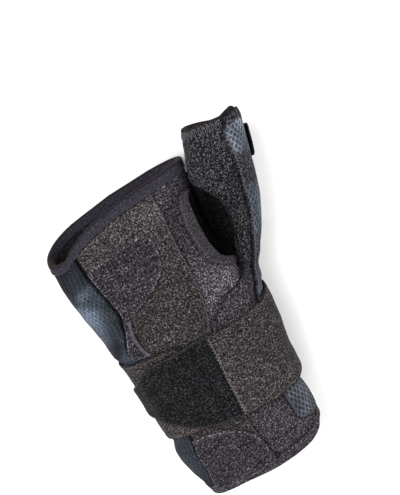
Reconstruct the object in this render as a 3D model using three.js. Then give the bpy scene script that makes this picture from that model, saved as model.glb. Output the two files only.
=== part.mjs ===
// Thumb spica splint for a right hand, lying on its back: palm side up (+Z), fingers towards +Y,
// thumb towards +X. Millimetres. Every piece is a sheet of cloth laid on one of two surfaces,
// the hand-and-forearm tube or the thumb tube, so the layers follow each other without touching.
import * as THREE from 'three';

// Cloth
const WALL = 3.0;            // padded body cloth
const THUMB_WALL = 2.4;      // thumb sleeve cloth
const GAP = 0.35;            // between one layer and the next
const END_GAP = 0.8;         // between the cloth and the binding at its end
const PANEL_THICK = 1.5;
const HEM_THICK = 1.0;
const TAB_THICK = 1.5;
const STRAP_THICK = 1.4;
const STRAP_TAB_THICK = 1.2;
const STAY_THICK = 1.2;
const THUMB_TAB_THICK = 1.2;
const RIM_PROUD = 0.4;       // a binding stands this far off the cloth on both faces

// Lengths along the hand, from the middle of the wrist
const FOREARM_END = -96;
const PALM_END = 78;
const FOREARM_BINDING = 7;
const PALM_BINDING = 6.5;
const STRAP_MIDDLE = -32.5;
const STRAP_WIDTH = 51;
const STRAP_LOW = STRAP_MIDDLE - STRAP_WIDTH / 2;
const STRAP_HIGH = STRAP_MIDDLE + STRAP_WIDTH / 2;
const STRAP_CINCH = 2.0;     // the strap pulls the tube in by this much
const CINCH_FROM = 1;        // the pull fades out between these distances from the strap's edges
const CINCH_TO = 8;
const BASE_SINK = 1.5;       // the tube is pressed flat where it rests
const RIM_LIFT = 0.5;        // the two ends stand clear of the rest, so the bindings fit below
const RIM_RISE_FROM = 20;    // the rise begins and ends at these distances from an end
const RIM_RISE_TO = 12;

// The tube: ulnar side x, radial side x, height, squareness of the section
const TUBE = [
  { y: -96, ulnar: -41.6, radial: 32.4, height: 47.0, square: 2.25 },
  { y: -80, ulnar: -45.6, radial: 32.6, height: 49.0, square: 2.3 },
  { y: -64, ulnar: -47.8, radial: 32.0, height: 50.5, square: 2.35 },
  { y: -48, ulnar: -47.6, radial: 32.8, height: 51.5, square: 2.4 },
  { y: -30, ulnar: -47.6, radial: 35.2, height: 52.0, square: 2.4 },
  { y: -10, ulnar: -48.0, radial: 38.0, height: 52.5, square: 2.4 },
  { y: 8, ulnar: -49.4, radial: 37.5, height: 52.0, square: 2.4 },
  { y: 28, ulnar: -51.4, radial: 36.5, height: 49.0, square: 2.45 },
  { y: 45, ulnar: -53.2, radial: 36.0, height: 45.5, square: 2.5 },
  { y: 60, ulnar: -52.6, radial: 35.8, height: 42.0, square: 2.55 },
  { y: 78, ulnar: -50.0, radial: 39.0, height: 39.0, square: 2.6 },
];

// Angles round the tube are degrees: 0 radial, 90 palm, 180 ulnar, 270 (or -90) back.
// Where the two ends are cut, y at each angle
const PALM_EDGE = [
  { at: -90, y: 73 }, { at: -20, y: 74.4 }, { at: 21, y: 75.3 }, { at: 56, y: 76 },
  { at: 79, y: 75.4 }, { at: 91, y: 74.8 }, { at: 103, y: 73.4 }, { at: 114, y: 70.9 },
  { at: 125, y: 67.2 }, { at: 132, y: 64.2 }, { at: 139, y: 61.4 }, { at: 153, y: 60.8 },
  { at: 180, y: 62 }, { at: 205, y: 65 }, { at: 235, y: 69.5 }, { at: 270, y: 73 },
];
const FOREARM_EDGE = [
  { at: -90, y: -93 }, { at: 0, y: -89 }, { at: 21, y: -89.5 }, { at: 34, y: -93 },
  { at: 54, y: -95.4 }, { at: 84, y: -96 }, { at: 114, y: -95.2 }, { at: 163, y: -97.5 },
  { at: 200, y: -95.5 }, { at: 270, y: -93 },
];

// The thumb tube: its middle line starts here and leans to the radial side
const THUMB_START = { x: 25.6, y: 0, z: 24.5 };
const THUMB_LEAN = 24.5;     // degrees from +Y towards +X
const THUMB_RISE = 2;        // degrees up from the rest
// Half widths on the radial and the ulnar side, and half the height, at a length along the thumb
const THUMB = [
  { at: -14, radial: 17.0, ulnar: 16.0, half: 16.0 },
  { at: 0, radial: 16.0, ulnar: 16.0, half: 16.0 },
  { at: 12, radial: 15.2, ulnar: 16.0, half: 16.2 },
  { at: 22, radial: 16.0, ulnar: 16.2, half: 16.5 },
  { at: 34, radial: 17.8, ulnar: 17.0, half: 16.6 },
  { at: 48, radial: 18.3, ulnar: 18.2, half: 16.6 },
  { at: 60, radial: 17.2, ulnar: 19.2, half: 16.2 },
  { at: 72, radial: 15.2, ulnar: 18.8, half: 15.6 },
  { at: 86, radial: 12.8, ulnar: 18.5, half: 15.3 },
  { at: 100, radial: 10.8, ulnar: 18.2, half: 15.1 },
];
const HUG_FROM = -8;         // below this the thumb cloth lies on the tube
const HUG_TO = 20;           // above this it is a thumb tube of its own
const HUG_MIDDLE = 8;        // tube angle of the thumb's radial side
const HUG_SHARE = 0.66;      // tube degrees for each thumb degree
const DRAPE_SOFT = 5;        // mm over which the thumb cloth eases onto the tube
const THUMB_TOP = 96;
// Where the thumb end is cut: length along the thumb at each thumb angle (0 radial, 90 palm)
const THUMB_EDGE = [
  { at: -180, t: 89 }, { at: -80, t: 89.6 }, { at: -20, t: 91.4 }, { at: 0, t: 93.6 },
  { at: 20, t: 97.2 }, { at: 37, t: 100.4 }, { at: 59, t: 99.6 }, { at: 89, t: 96.6 },
  { at: 121, t: 93.6 }, { at: 153, t: 90.2 }, { at: 180, t: 89 },
];
const THUMB_BINDING = 5;

// Value of one named column at a place in a table, smooth and without overshoot
function rail(table, key, column, at) {
  const last = table.length - 1;
  if (at <= table[0][key]) return table[0][column];
  if (at >= table[last][key]) return table[last][column];
  let i = 0;
  while (at > table[i + 1][key]) i += 1;
  const step = (k) => table[k + 1][key] - table[k][key];
  const grade = (k) => (table[k + 1][column] - table[k][column]) / step(k);
  const slope = (k) => {
    if (k === 0) return grade(0);
    if (k === last) return grade(last - 1);
    const before = grade(k - 1);
    const after = grade(k);
    return before * after <= 0 ? 0 : (2 * before * after) / (before + after);
  };
  const h = step(i);
  const t = (at - table[i][key]) / h;
  const t2 = t * t;
  const t3 = t2 * t;
  return (2 * t3 - 3 * t2 + 1) * table[i][column] + (t3 - 2 * t2 + t) * h * slope(i)
    + (3 * t2 - 2 * t3) * table[i + 1][column] + (t3 - t2) * h * slope(i + 1);
}

const clamp01 = (x) => Math.min(1, Math.max(0, x));

function ease(from, to, x) {
  const t = clamp01((x - from) / (to - from));
  return t * t * (3 - 2 * t);
}

const radians = (deg) => (deg * Math.PI) / 180;

// An angle brought into the span -90 to 270 that the edge tables use
const turn = (deg) => ((((deg + 90) % 360) + 360) % 360) - 90;

// Section of the tube at y: middle, half sizes, squareness and the level it rests at
function section(y) {
  const ulnar = rail(TUBE, 'y', 'ulnar', y);
  const radial = rail(TUBE, 'y', 'radial', y);
  const height = rail(TUBE, 'y', 'height', y);
  const below = ease(STRAP_LOW - CINCH_TO, STRAP_LOW - CINCH_FROM, y);
  const above = ease(STRAP_HIGH + CINCH_FROM, STRAP_HIGH + CINCH_TO, y);
  const cinch = STRAP_CINCH * below * (1 - above);
  const palmRise = ease(PALM_END - RIM_RISE_FROM, PALM_END - RIM_RISE_TO, y);
  const forearmRise = 1 - ease(FOREARM_END + RIM_RISE_TO, FOREARM_END + RIM_RISE_FROM, y);
  const ends = RIM_LIFT * (palmRise + forearmRise);
  return {
    x: (ulnar + radial) / 2,
    z: (height - BASE_SINK) / 2,
    wide: (radial - ulnar) / 2 - cinch,
    tall: (height + BASE_SINK - cinch) / 2,
    square: rail(TUBE, 'y', 'square', y),
    floor: cinch + ends,
  };
}

function radiusAt(part, angle, more) {
  const c = Math.abs(Math.cos(angle) / (part.wide + more)) ** part.square;
  const s = Math.abs(Math.sin(angle) / (part.tall + more)) ** part.square;
  return (c + s) ** (-1 / part.square);
}

function tubeOutline(part, deg) {
  const a = Math.atan2(part.tall * Math.sin(radians(deg)), part.wide * Math.cos(radians(deg)));
  const r = radiusAt(part, a, 0);
  return { x: part.x + r * Math.cos(a), z: Math.max(part.z + r * Math.sin(a), part.floor) };
}

// A point on the tube, or off it along its outward direction
function tubePoint(y, deg, off) {
  const part = section(y);
  const here = tubeOutline(part, deg);
  const before = tubeOutline(part, deg - 0.5);
  const after = tubeOutline(part, deg + 0.5);
  const dx = after.x - before.x;
  const dz = after.z - before.z;
  const length = Math.hypot(dx, dz);
  const z = Math.max(0, here.z - (dx / length) * off);
  return new THREE.Vector3(here.x + (dz / length) * off, y, z);
}

// y of a place between the two cut ends, where s runs from FOREARM_END to PALM_END
function tubeLength(s, deg) {
  const palm = (rail(PALM_EDGE, 'at', 'y', turn(deg)) - PALM_END) * ease(36, PALM_END, s);
  const cut = rail(FOREARM_EDGE, 'at', 'y', turn(deg)) - FOREARM_END;
  const forearm = cut * (1 - ease(FOREARM_END, -60, s));
  return s + palm + forearm;
}

const lean = radians(THUMB_LEAN);
const rise = radians(THUMB_RISE);
const alongThumb = new THREE.Vector3(
  Math.sin(lean) * Math.cos(rise),
  Math.cos(lean) * Math.cos(rise),
  Math.sin(rise),
);
const acrossThumb = new THREE.Vector3(Math.cos(lean), -Math.sin(lean), 0);
const upThumb = new THREE.Vector3().crossVectors(acrossThumb, alongThumb);

// Keep a point of the thumb cloth outside the tube by a distance
function drape(p, distance, soft) {
  const part = section(Math.min(PALM_END, Math.max(FOREARM_END, p.y)));
  const dx = p.x - part.x;
  const dz = p.z - part.z;
  const angle = Math.atan2(dz, dx);
  const here = Math.hypot(dx, dz);
  const least = radiusAt(part, angle, distance);
  const share = soft > 0.01 ? clamp01(0.5 + (0.5 * (here - least)) / soft) : Number(here > least);
  const kept = least * (1 - share) + here * share + soft * share * (1 - share);
  const fade = 1 - ease(PALM_END, PALM_END + 10, p.y);
  const radius = here + (kept - here) * fade;
  return new THREE.Vector3(part.x + radius * Math.cos(angle), p.y, part.z + radius * Math.sin(angle));
}

function thumbSurface(t, deg) {
  const c = Math.cos(radians(deg));
  const s = Math.sin(radians(deg));
  const half = rail(THUMB, 'at', c > 0 ? 'radial' : 'ulnar', t);
  const core = new THREE.Vector3(THUMB_START.x, THUMB_START.y, THUMB_START.z)
    .addScaledVector(alongThumb, t)
    .addScaledVector(acrossThumb, half * c)
    .addScaledVector(upThumb, rail(THUMB, 'at', 'half', t) * s);
  const lying = tubePoint(t * alongThumb.y, HUG_MIDDLE + HUG_SHARE * deg, GAP + THUMB_WALL);
  const own = ease(HUG_FROM, HUG_TO, t);
  if (own <= 0) return lying;
  const beside = THUMB_WALL * (1 - ease(110, 160, Math.abs(deg)));
  return drape(lying.lerp(core, own), GAP + RIM_PROUD + beside, DRAPE_SOFT * clamp01(own * 4));
}

// A point on the thumb cloth's outer face, or off it
function thumbPoint(t, deg, off) {
  const p = thumbSurface(t, deg);
  const length = thumbSurface(t + 0.4, deg).sub(thumbSurface(t - 0.4, deg));
  const round = thumbSurface(t, deg + 1).sub(thumbSurface(t, deg - 1));
  return p.addScaledVector(length.cross(round).normalize(), off);
}

// t of a place below the cut thumb end
function thumbLength(t, deg) {
  return t + (rail(THUMB_EDGE, 'at', 't', deg) - THUMB_TOP) * ease(52, THUMB_TOP, t);
}

const amount = (value, deg, along) => (typeof value === 'function' ? value(deg, along) : value);

// Rows between the two rails of a table: its own places, and more where they lie far apart
function rowsOf(table, key, step) {
  const rows = [];
  for (let i = 0; i < table.length - 1; i += 1) {
    const span = table[i + 1][key] - table[i][key];
    const count = Math.max(1, Math.ceil(Math.abs(span) / step));
    for (let k = 0; k < count; k += 1) rows.push(table[i][key] + (span * k) / count);
  }
  rows.push(table[table.length - 1][key]);
  return rows.map((at) => ({ at, from: rail(table, key, 'from', at), to: rail(table, key, 'to', at) }));
}

// A closed solid between an outer and an inner grid of points
function solidOf(outer, inner) {
  const rows = outer.length;
  const cols = outer[0].length;
  const points = [...outer.flat(), ...inner.flat()];
  const index = (layer, r, c) => layer * rows * cols + r * cols + c;
  const faces = [];
  const quad = (a, b, c, d) => faces.push(a, b, c, a, c, d);
  for (let r = 0; r < rows - 1; r += 1) {
    for (let c = 0; c < cols - 1; c += 1) {
      quad(index(0, r, c), index(0, r, c + 1), index(0, r + 1, c + 1), index(0, r + 1, c));
      quad(index(1, r, c), index(1, r + 1, c), index(1, r + 1, c + 1), index(1, r, c + 1));
    }
    quad(index(0, r, 0), index(0, r + 1, 0), index(1, r + 1, 0), index(1, r, 0));
    const e = cols - 1;
    quad(index(0, r, e), index(1, r, e), index(1, r + 1, e), index(0, r + 1, e));
  }
  for (let c = 0; c < cols - 1; c += 1) {
    const e = rows - 1;
    quad(index(0, 0, c), index(1, 0, c), index(1, 0, c + 1), index(0, 0, c + 1));
    quad(index(0, e, c), index(0, e, c + 1), index(1, e, c + 1), index(1, e, c));
  }
  let volume = 0;
  for (let f = 0; f < faces.length; f += 3) {
    const [a, b, c] = [points[faces[f]], points[faces[f + 1]], points[faces[f + 2]]];
    volume += a.dot(b.clone().cross(c));
  }
  if (volume < 0) faces.reverse();
  const geometry = new THREE.BufferGeometry();
  const numbers = points.flatMap((p) => p.toArray());
  geometry.setAttribute('position', new THREE.Float32BufferAttribute(numbers, 3));
  geometry.setIndex(faces);
  return geometry;
}

// Cloth on the tube between two rails; lift is the gap below it, thick its thickness
function tubeSheet(table, step, cols, lift, thick, bound = true) {
  const grid = (extra) => rowsOf(table, 's', step).map((row) => {
    const line = [];
    for (let c = 0; c <= cols; c += 1) {
      const deg = row.from + ((row.to - row.from) * c) / cols;
      const y = bound ? tubeLength(row.at, deg) : row.at;
      line.push(tubePoint(y, deg, amount(lift, deg, y) + extra));
    }
    return line;
  });
  return solidOf(grid(thick), grid(0));
}

// Cloth on the tube whose rails run round it: from and to are lengths at each angle
function bandSheet(table, step, cols, lift, thick) {
  const grid = (extra) => rowsOf(table, 'deg', step).map((row) => {
    const line = [];
    for (let c = 0; c <= cols; c += 1) {
      const y = row.from + ((row.to - row.from) * c) / cols;
      line.push(tubePoint(y, row.at, amount(lift, row.at, y) + extra));
    }
    return line;
  });
  return solidOf(grid(thick), grid(0));
}

// Cloth on the thumb
function thumbSheet(table, step, cols, lift, thick) {
  const grid = (extra) => rowsOf(table, 't', step).map((row) => {
    const line = [];
    for (let c = 0; c <= cols; c += 1) {
      const deg = row.from + ((row.to - row.from) * c) / cols;
      line.push(thumbPoint(thumbLength(row.at, deg), deg, amount(lift, deg, row.at) + extra));
    }
    return line;
  });
  return solidOf(grid(thick), grid(0));
}

const TAB_LIFT = 2.3;        // closures lie over the palm panel
const HEM_LIFT = 0.5;
const PANEL_INSET = 1.6;     // degrees from the ulnar seam to the panel, and to the tabs
const TAB_INSET = 2.2;
const STRAP_STEP = 6;        // degrees from one line of points to the next
const SEAM = 0.35;           // degrees left open on each side of a seam
const BODY_LOW = FOREARM_END + FOREARM_BINDING + END_GAP;
const BODY_HIGH = PALM_END - PALM_BINDING - END_GAP;

// Where the palm cloth meets the back panel on the ulnar side, angle at each length
const ULNAR_SEAM = [
  { s: BODY_LOW, deg: 142 }, { s: -72, deg: 134.4 }, { s: -54, deg: 133.4 }, { s: -20, deg: 137 },
  { s: 2, deg: 137 }, { s: 7, deg: 134.5 }, { s: 12, deg: 130.7 }, { s: 18, deg: 126.8 },
  { s: 26, deg: 123.5 }, { s: 39, deg: 124.8 }, { s: 55, deg: 126.7 }, { s: BODY_HIGH, deg: 128 },
];
const ulnarSeam = (s) => rail(ULNAR_SEAM, 's', 'deg', s);

// From the web of the thumb to the palm end, the palm cloth and the back panel meet on this line
const WEB_SEAM = [{ s: 64, deg: 11 }, { s: 67.5, deg: 1 }, { s: BODY_HIGH, deg: -2 }];
// Radial edge of the palm cloth: under the thumb cloth, then the thenar window, then the web
const PALM_RADIAL = [
  { s: BODY_LOW, deg: 14 }, { s: 12, deg: 14 }, { s: 16, deg: 19 }, { s: 18, deg: 27 },
  { s: 20.5, deg: 34.5 }, { s: 24.5, deg: 39.6 }, { s: 34, deg: 41.5 }, { s: 43, deg: 41.1 },
  { s: 52, deg: 39 }, { s: 58, deg: 36 }, { s: 61, deg: 30 }, { s: 62.5, deg: 22 }, ...WEB_SEAM,
];
// Radial edge of the back panel: under the thumb cloth, then up beside the thumb cloth's back edge
const BACK_RADIAL = [
  { s: BODY_LOW, deg: 14 }, { s: 12, deg: 14 }, { s: 15, deg: 4 }, { s: 19, deg: -14 },
  { s: 26, deg: -22 }, { s: 43, deg: -22 }, { s: 48, deg: -18.4 }, { s: 53, deg: -12 },
  { s: 57, deg: -5 }, { s: 61, deg: 3.4 }, ...WEB_SEAM,
];
const palmRadial = (s) => rail(PALM_RADIAL, 's', 'deg', s);
const backRadial = (s) => rail(BACK_RADIAL, 's', 'deg', s);

// Rows that follow the strap's pull, and the free stretch below it
const STRAP_ROWS = [STRAP_LOW - 9, STRAP_LOW - 4, STRAP_LOW + 1, -40, -24, STRAP_HIGH - 1,
  STRAP_HIGH + 5, STRAP_HIGH + 10];
const WEB_ROWS = WEB_SEAM.map((row) => row.s);
const PALM_ROWS = [BODY_LOW, -78, ...STRAP_ROWS, 12, 16, 18, 20.5, 24.5, 34, 43, 52, 58, 61, 62.5,
  ...WEB_ROWS];
const palmTable = PALM_ROWS.map((s) => ({ s, from: palmRadial(s) + SEAM, to: ulnarSeam(s) - SEAM }));
const BACK_ROWS = [BODY_LOW, -78, ...STRAP_ROWS, 12, 15, 19, 26, 36, 43, 48, 53, 57, 61, ...WEB_ROWS];
const backTable = BACK_ROWS.map((s) => (
  { s, from: ulnarSeam(s) + SEAM, to: backRadial(s) + 360 - SEAM }
));

// Right edge of the raised palm panel, angle at each length
const PANEL_EDGE = [
  { s: BODY_LOW, deg: 83 }, { s: -64, deg: 83.1 }, { s: -56, deg: 83 }, { s: -12, deg: 78 },
  { s: -1, deg: 74 }, { s: 5.5, deg: 71.2 }, { s: 13, deg: 68.3 }, { s: 26, deg: 65.4 },
  { s: 44, deg: 63.2 }, { s: 53, deg: 62 }, { s: 62, deg: 60.6 }, { s: BODY_HIGH, deg: 62.6 },
];
const panelEdge = (s) => rail(PANEL_EDGE, 's', 'deg', s);
const PANEL_ROWS = [BODY_LOW, -78, ...STRAP_ROWS, 12, 18, 26, 35, 44, 53, 62, BODY_HIGH];
const panelTable = PANEL_ROWS.map((s) => ({ s, from: panelEdge(s), to: ulnarSeam(s) - PANEL_INSET }));

// Folded hem along the thenar window, on the palm cloth: window edge and inner stitch line
const HEM = [
  { s: 14.5, from: 21, to: 33 }, { s: 17, from: 25, to: 41 }, { s: 20.5, from: 35.3, to: 47.7 },
  { s: 24.5, from: 40.2, to: 51 }, { s: 34, from: 42.1, to: 53 }, { s: 43, from: 41.7, to: 52.5 },
  { s: 52, from: 39.7, to: 50.5 }, { s: 58, from: 36.7, to: 47.5 }, { s: 62, from: 29, to: 44 },
];

// Palm closure tab: rounded end to straight end, with the layer below at PANEL_THICK
const PALM_TAB = [
  { s: 20.6, from: 115.5 }, { s: 23, from: 109 }, { s: 26.7, from: 97.2 },
  { s: 30.3, from: 88.7 }, { s: 34.7, from: 81.3 }, { s: 40.8, from: 77.4 }, { s: 47, from: 76 },
  { s: 52, from: 76.4 }, { s: 55, from: 79 }, { s: 56.7, from: 84 },
];
const palmTabTable = PALM_TAB.map((row) => ({ ...row, to: ulnarSeam(row.s) - TAB_INSET }));

// Stitched edging strip from the palm tab down to the wrist strap
const EDGING = [
  { s: STRAP_HIGH + 5.4, from: 120.5 }, { s: 3, from: 122.5 }, { s: 9.5, from: 122.9 },
  { s: 15.2, from: 120.9 }, { s: 20, from: 118 },
];
const edgingTable = EDGING.map((row) => ({ ...row, to: ulnarSeam(row.s) - TAB_INSET }));

// Forearm closure tab
const FOREARM_TAB = [
  { s: -91.5, from: 100 }, { s: -88.5, from: 88 }, { s: -84, from: 84.4 }, { s: -77, from: 83.5 },
  { s: -70, from: 85.5 }, { s: -65.4, from: 91 }, { s: -61.4, from: 98.8 },
  { s: -58.8, from: 108 }, { s: -57.2, from: 118 },
];
const forearmTabTable = FOREARM_TAB.map((row) => ({ ...row, to: ulnarSeam(row.s) - TAB_INSET }));

// The strap runs from its loose end on the palm, round the thumb side and the back, and ends
// below its own tab. Its angles go down from the loose end.
const STRAP_LOOSE = 84;
const STRAP_START = STRAP_LOOSE + 18 - 360;
const STRAP_SLANT = [
  { at: -90, y: 0 }, { at: 0, y: 0 }, { at: 45, y: -2.5 }, { at: 84, y: 0 }, { at: 125, y: 4.2 },
  { at: 150, y: 3.6 }, { at: 180, y: 2.4 }, { at: 270, y: 0 },
];
const STRAP_LIFT = [
  { at: STRAP_START, off: 2.3 }, { at: -222, off: 2.3 }, { at: -210, off: 0.6 }, { at: -62, off: 0.6 },
  { at: -52, off: 1.4 }, { at: -43, off: 3.3 }, { at: -17, off: 3.3 }, { at: -8, off: 5.5 },
  { at: 35, off: 5.5 }, { at: 43, off: 3.3 }, { at: STRAP_LOOSE - 18, off: 3.3 },
  { at: STRAP_LOOSE - 9, off: 4.0 }, { at: STRAP_LOOSE, off: 4.0 },
];
const strapSteps = Math.round((STRAP_LOOSE - STRAP_START) / STRAP_STEP);
const strapTable = Array.from({ length: strapSteps + 1 }, (_, k) => {
  const deg = STRAP_START + ((STRAP_LOOSE - STRAP_START) * k) / strapSteps;
  const slant = rail(STRAP_SLANT, 'at', 'y', turn(deg));
  return { deg, from: STRAP_LOW + slant, to: STRAP_HIGH + slant };
});
const strapLift = (deg) => rail(STRAP_LIFT, 'at', 'off', deg);

// Black hook tab of the strap: from under the strap's loose end to its rounded end
const STRAP_TAB = [
  { deg: STRAP_LOOSE - 6, from: -56, to: -9 }, { deg: STRAP_LOOSE + 0.5, from: -57.6, to: -7.4 },
  { deg: STRAP_LOOSE + 10, from: -56.4, to: -7 }, { deg: STRAP_LOOSE + 21, from: -54.4, to: -6.8 },
  { deg: 115, from: -52.2, to: -6.8 }, { deg: 124, from: -49, to: -6.6 },
  { deg: 130, from: -46.4, to: -7.6 }, { deg: 143, from: -41.6, to: -12.3 },
  { deg: 159, from: -38.4, to: -17.6 }, { deg: 170, from: -37, to: -20.4 },
  { deg: 177, from: -34.6, to: -23 }, { deg: 181, from: -31.6, to: -26 },
];
const STRAP_TAB_LIFT = [
  { at: STRAP_LOOSE - 6, off: 2.3 }, { at: STRAP_LOOSE + 10, off: 2.3 },
  { at: STRAP_LOOSE + 17, off: 4.2 }, { at: 141, off: 4.2 }, { at: 152, off: 2.5 },
];
const strapTabLift = (deg) => rail(STRAP_TAB_LIFT, 'at', 'off', deg);

// Thumb sleeve: palm-side edge (window) and back edge, thumb angles at each length
const SLEEVE = [
  { t: -36, from: -66, to: 97 }, { t: -18, from: -68, to: 99 }, { t: -9, from: -69, to: 98 },
  { t: -2.5, from: -70, to: 97 }, { t: 2, from: -70, to: 95 }, { t: 6.3, from: -72, to: 93 },
  { t: 7.6, from: -73, to: 76 }, { t: 12, from: -77, to: 70 }, { t: 16, from: -83, to: 72 },
  { t: 20, from: -91, to: 77 }, { t: 26, from: -104, to: 80 }, { t: 34, from: -120, to: 81 },
  { t: 45, from: -140, to: 89.5 }, { t: 50, from: -149, to: 99 }, { t: 54, from: -157, to: 110 },
  { t: 58, from: -166, to: 128 }, { t: 61, from: -173, to: 150 },
  { t: 64, from: -178.8, to: 174 }, { t: 67, from: -179.4, to: 179.4 },
  { t: 79, from: -179.4, to: 179.4 },
  { t: THUMB_TOP - THUMB_BINDING - END_GAP, from: -179.4, to: 179.4 },
];
const THUMB_RIM = [
  { t: THUMB_TOP - THUMB_BINDING, from: -179.4, to: 179.4 },
  { t: THUMB_TOP, from: -179.4, to: 179.4 },
];

// Cover over the stay: down the thumb, under the strap, onto the forearm
const STAY = [
  { t: -90.5, from: 20, to: 44 }, { t: -88.5, from: 12, to: 58 }, { t: -84, from: 8, to: 65 },
  { t: -70, from: 6, to: 63 }, { t: -60, from: 2, to: 52 }, { t: -50, from: -8, to: 38 },
  { t: -41, from: -12, to: 34 }, { t: -36, from: -12, to: 33 }, { t: -10, from: -12, to: 35 },
  { t: 4, from: -16, to: 40 }, { t: 13, from: -20, to: 44 }, { t: 23, from: -24, to: 47 },
  { t: 33, from: -28, to: 50 }, { t: 50, from: -32, to: 56 }, { t: 59, from: -34, to: 63 },
  { t: 67, from: -34, to: 66 }, { t: 78, from: -34, to: 75 }, { t: 87, from: -34, to: 84 },
  { t: THUMB_TOP - 0.6, from: -34, to: 80 },
];
const STAY_OVER = RIM_PROUD + GAP + 0.1;
const stayLift = (deg, t) => STAY_OVER - (GAP + THUMB_WALL + STAY_OVER - GAP) * (1 - ease(-49, -40, t));

// Hook tab that closes the thumb sleeve, on its back and radial side
const THUMB_TAB = [
  { t: 70, from: -92, to: -16 }, { t: 72, from: -97, to: -12 }, { t: 80, from: -99, to: -10 },
  { t: 89, from: -97, to: -11 }, { t: 91, from: -92, to: -14 },
];
const THUMB_TAB_STEP = STAY_THICK + 0.6;
const THUMB_TAB_CURL = 1.6;  // its loose end stands off the sleeve
const thumbTabLift = (deg) => STAY_OVER + THUMB_TAB_STEP * ease(-52, -40, deg)
  + THUMB_TAB_CURL * ease(-32, -12, deg);

// A band right round the tube, open by a seam's width on the back
function ringSheet(from, to) {
  const table = [from, to].map((s) => ({ s, from: -90 + SEAM, to: 270 - SEAM }));
  return tubeSheet(table, 40, 48, -WALL - RIM_PROUD, WALL + 2 * RIM_PROUD);
}

const LOOP_CLOTH = 0x36343a;
const HEATHER_LOOP = 0x3a3634;
const MESH_CLOTH = 0x3e4756;
const HOOK_TAPE = 0x1a1b1c;
const BINDING = 0x2e2c33;

const splint = new THREE.Group();
splint.name = 'thumb_spica_splint';

function add(name, color, shape) {
  shape.computeVertexNormals();
  const material = new THREE.MeshStandardMaterial({ color, roughness: 0.9, metalness: 0 });
  material.name = `${name}_cloth`;
  const mesh = new THREE.Mesh(shape, material);
  mesh.name = name;
  splint.add(mesh);
}

add('palm_wrap', LOOP_CLOTH, tubeSheet(palmTable, 40, 14, -WALL, WALL));
add('back_panel', MESH_CLOTH, tubeSheet(backTable, 40, 24, -WALL, WALL));
add('palm_edge_binding', BINDING, ringSheet(PALM_END - PALM_BINDING, PALM_END));
add('forearm_edge_binding', BINDING, ringSheet(FOREARM_END, FOREARM_END + FOREARM_BINDING));
add('palm_panel', HEATHER_LOOP, tubeSheet(panelTable, 40, 7, GAP, PANEL_THICK));
add('window_hem', LOOP_CLOTH, tubeSheet(HEM, 12, 2, HEM_LIFT, HEM_THICK));
add('palm_tab', LOOP_CLOTH, tubeSheet(palmTabTable, 12, 6, TAB_LIFT, TAB_THICK));
add('edging_strip', BINDING, tubeSheet(edgingTable, 12, 2, TAB_LIFT, TAB_THICK, false));
add('forearm_tab', LOOP_CLOTH, tubeSheet(forearmTabTable, 12, 6, TAB_LIFT, TAB_THICK, false));
add('wrist_strap', HEATHER_LOOP, bandSheet(strapTable, STRAP_STEP, 4, strapLift, STRAP_THICK));
add('strap_tab', HOOK_TAPE, bandSheet(STRAP_TAB, STRAP_STEP, 5, strapTabLift, STRAP_TAB_THICK));
add('thumb_sleeve', LOOP_CLOTH, thumbSheet(SLEEVE, 20, 20, -THUMB_WALL, THUMB_WALL));
const thumbRim = THUMB_WALL + 2 * RIM_PROUD;
add('thumb_edge_binding', BINDING, thumbSheet(THUMB_RIM, 20, 30, -THUMB_WALL - RIM_PROUD, thumbRim));
add('thumb_stay_cover', MESH_CLOTH, thumbSheet(STAY, 12, 5, stayLift, STAY_THICK));
add('thumb_tab', HOOK_TAPE, thumbSheet(THUMB_TAB, 12, 7, thumbTabLift, THUMB_TAB_THICK));

// The origin is the middle of the footprint, level with the rest
const box = new THREE.Box3().setFromObject(splint);
for (const mesh of splint.children) {
  mesh.geometry.translate(-(box.min.x + box.max.x) / 2, -(box.min.y + box.max.y) / 2, -box.min.z);
}

export default splint;
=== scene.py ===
import math

import bpy
import numpy as np
from mathutils import Matrix, Vector, kdtree


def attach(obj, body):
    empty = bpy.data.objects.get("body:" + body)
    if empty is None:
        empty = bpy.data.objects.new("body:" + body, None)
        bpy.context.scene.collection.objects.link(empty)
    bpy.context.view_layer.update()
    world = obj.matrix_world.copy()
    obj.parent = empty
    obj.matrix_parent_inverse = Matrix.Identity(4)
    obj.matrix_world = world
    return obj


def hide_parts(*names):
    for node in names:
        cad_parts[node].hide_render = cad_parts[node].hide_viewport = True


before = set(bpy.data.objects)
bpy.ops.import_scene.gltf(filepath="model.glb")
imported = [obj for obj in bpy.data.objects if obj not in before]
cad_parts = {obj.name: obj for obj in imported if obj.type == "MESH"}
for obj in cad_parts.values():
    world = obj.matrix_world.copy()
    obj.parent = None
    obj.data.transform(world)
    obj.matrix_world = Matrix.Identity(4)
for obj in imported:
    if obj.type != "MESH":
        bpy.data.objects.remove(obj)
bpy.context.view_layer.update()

# A right-hand thumb spica splint, lying on its back. Shapes are worked out in millimetres from a
# point on the floor beside the wrist strap, and toOrigin moves them to the frame's origin.
toOrigin = np.array([-12.38, 4.29, 0.0])


def linear(code):  # sRGB hex to linear red, green, blue, alpha
    parts = [int(code[i:i + 2], 16) / 255 for i in (1, 3, 5)]
    return tuple(c / 12.92 if c <= 0.04045 else ((c + 0.055) / 1.055) ** 2.4 for c in parts) + (1.0,)


def addNode(tree, kind, inputs=None, ramp=None, **settings):
    node = tree.nodes.new(kind)
    for key, value in settings.items():
        setattr(node, key, value)
    for key, value in (inputs or {}).items():
        if isinstance(value, bpy.types.NodeSocket):
            tree.links.new(value, node.inputs[key])
        else:
            node.inputs[key].default_value = value
    if ramp:
        stops = node.color_ramp.elements
        while len(stops) < len(ramp):
            stops.new(0.5)
        for stop, (place, code) in zip(stops, ramp):
            stop.position = place
            stop.color = linear(code)
    return node


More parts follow.
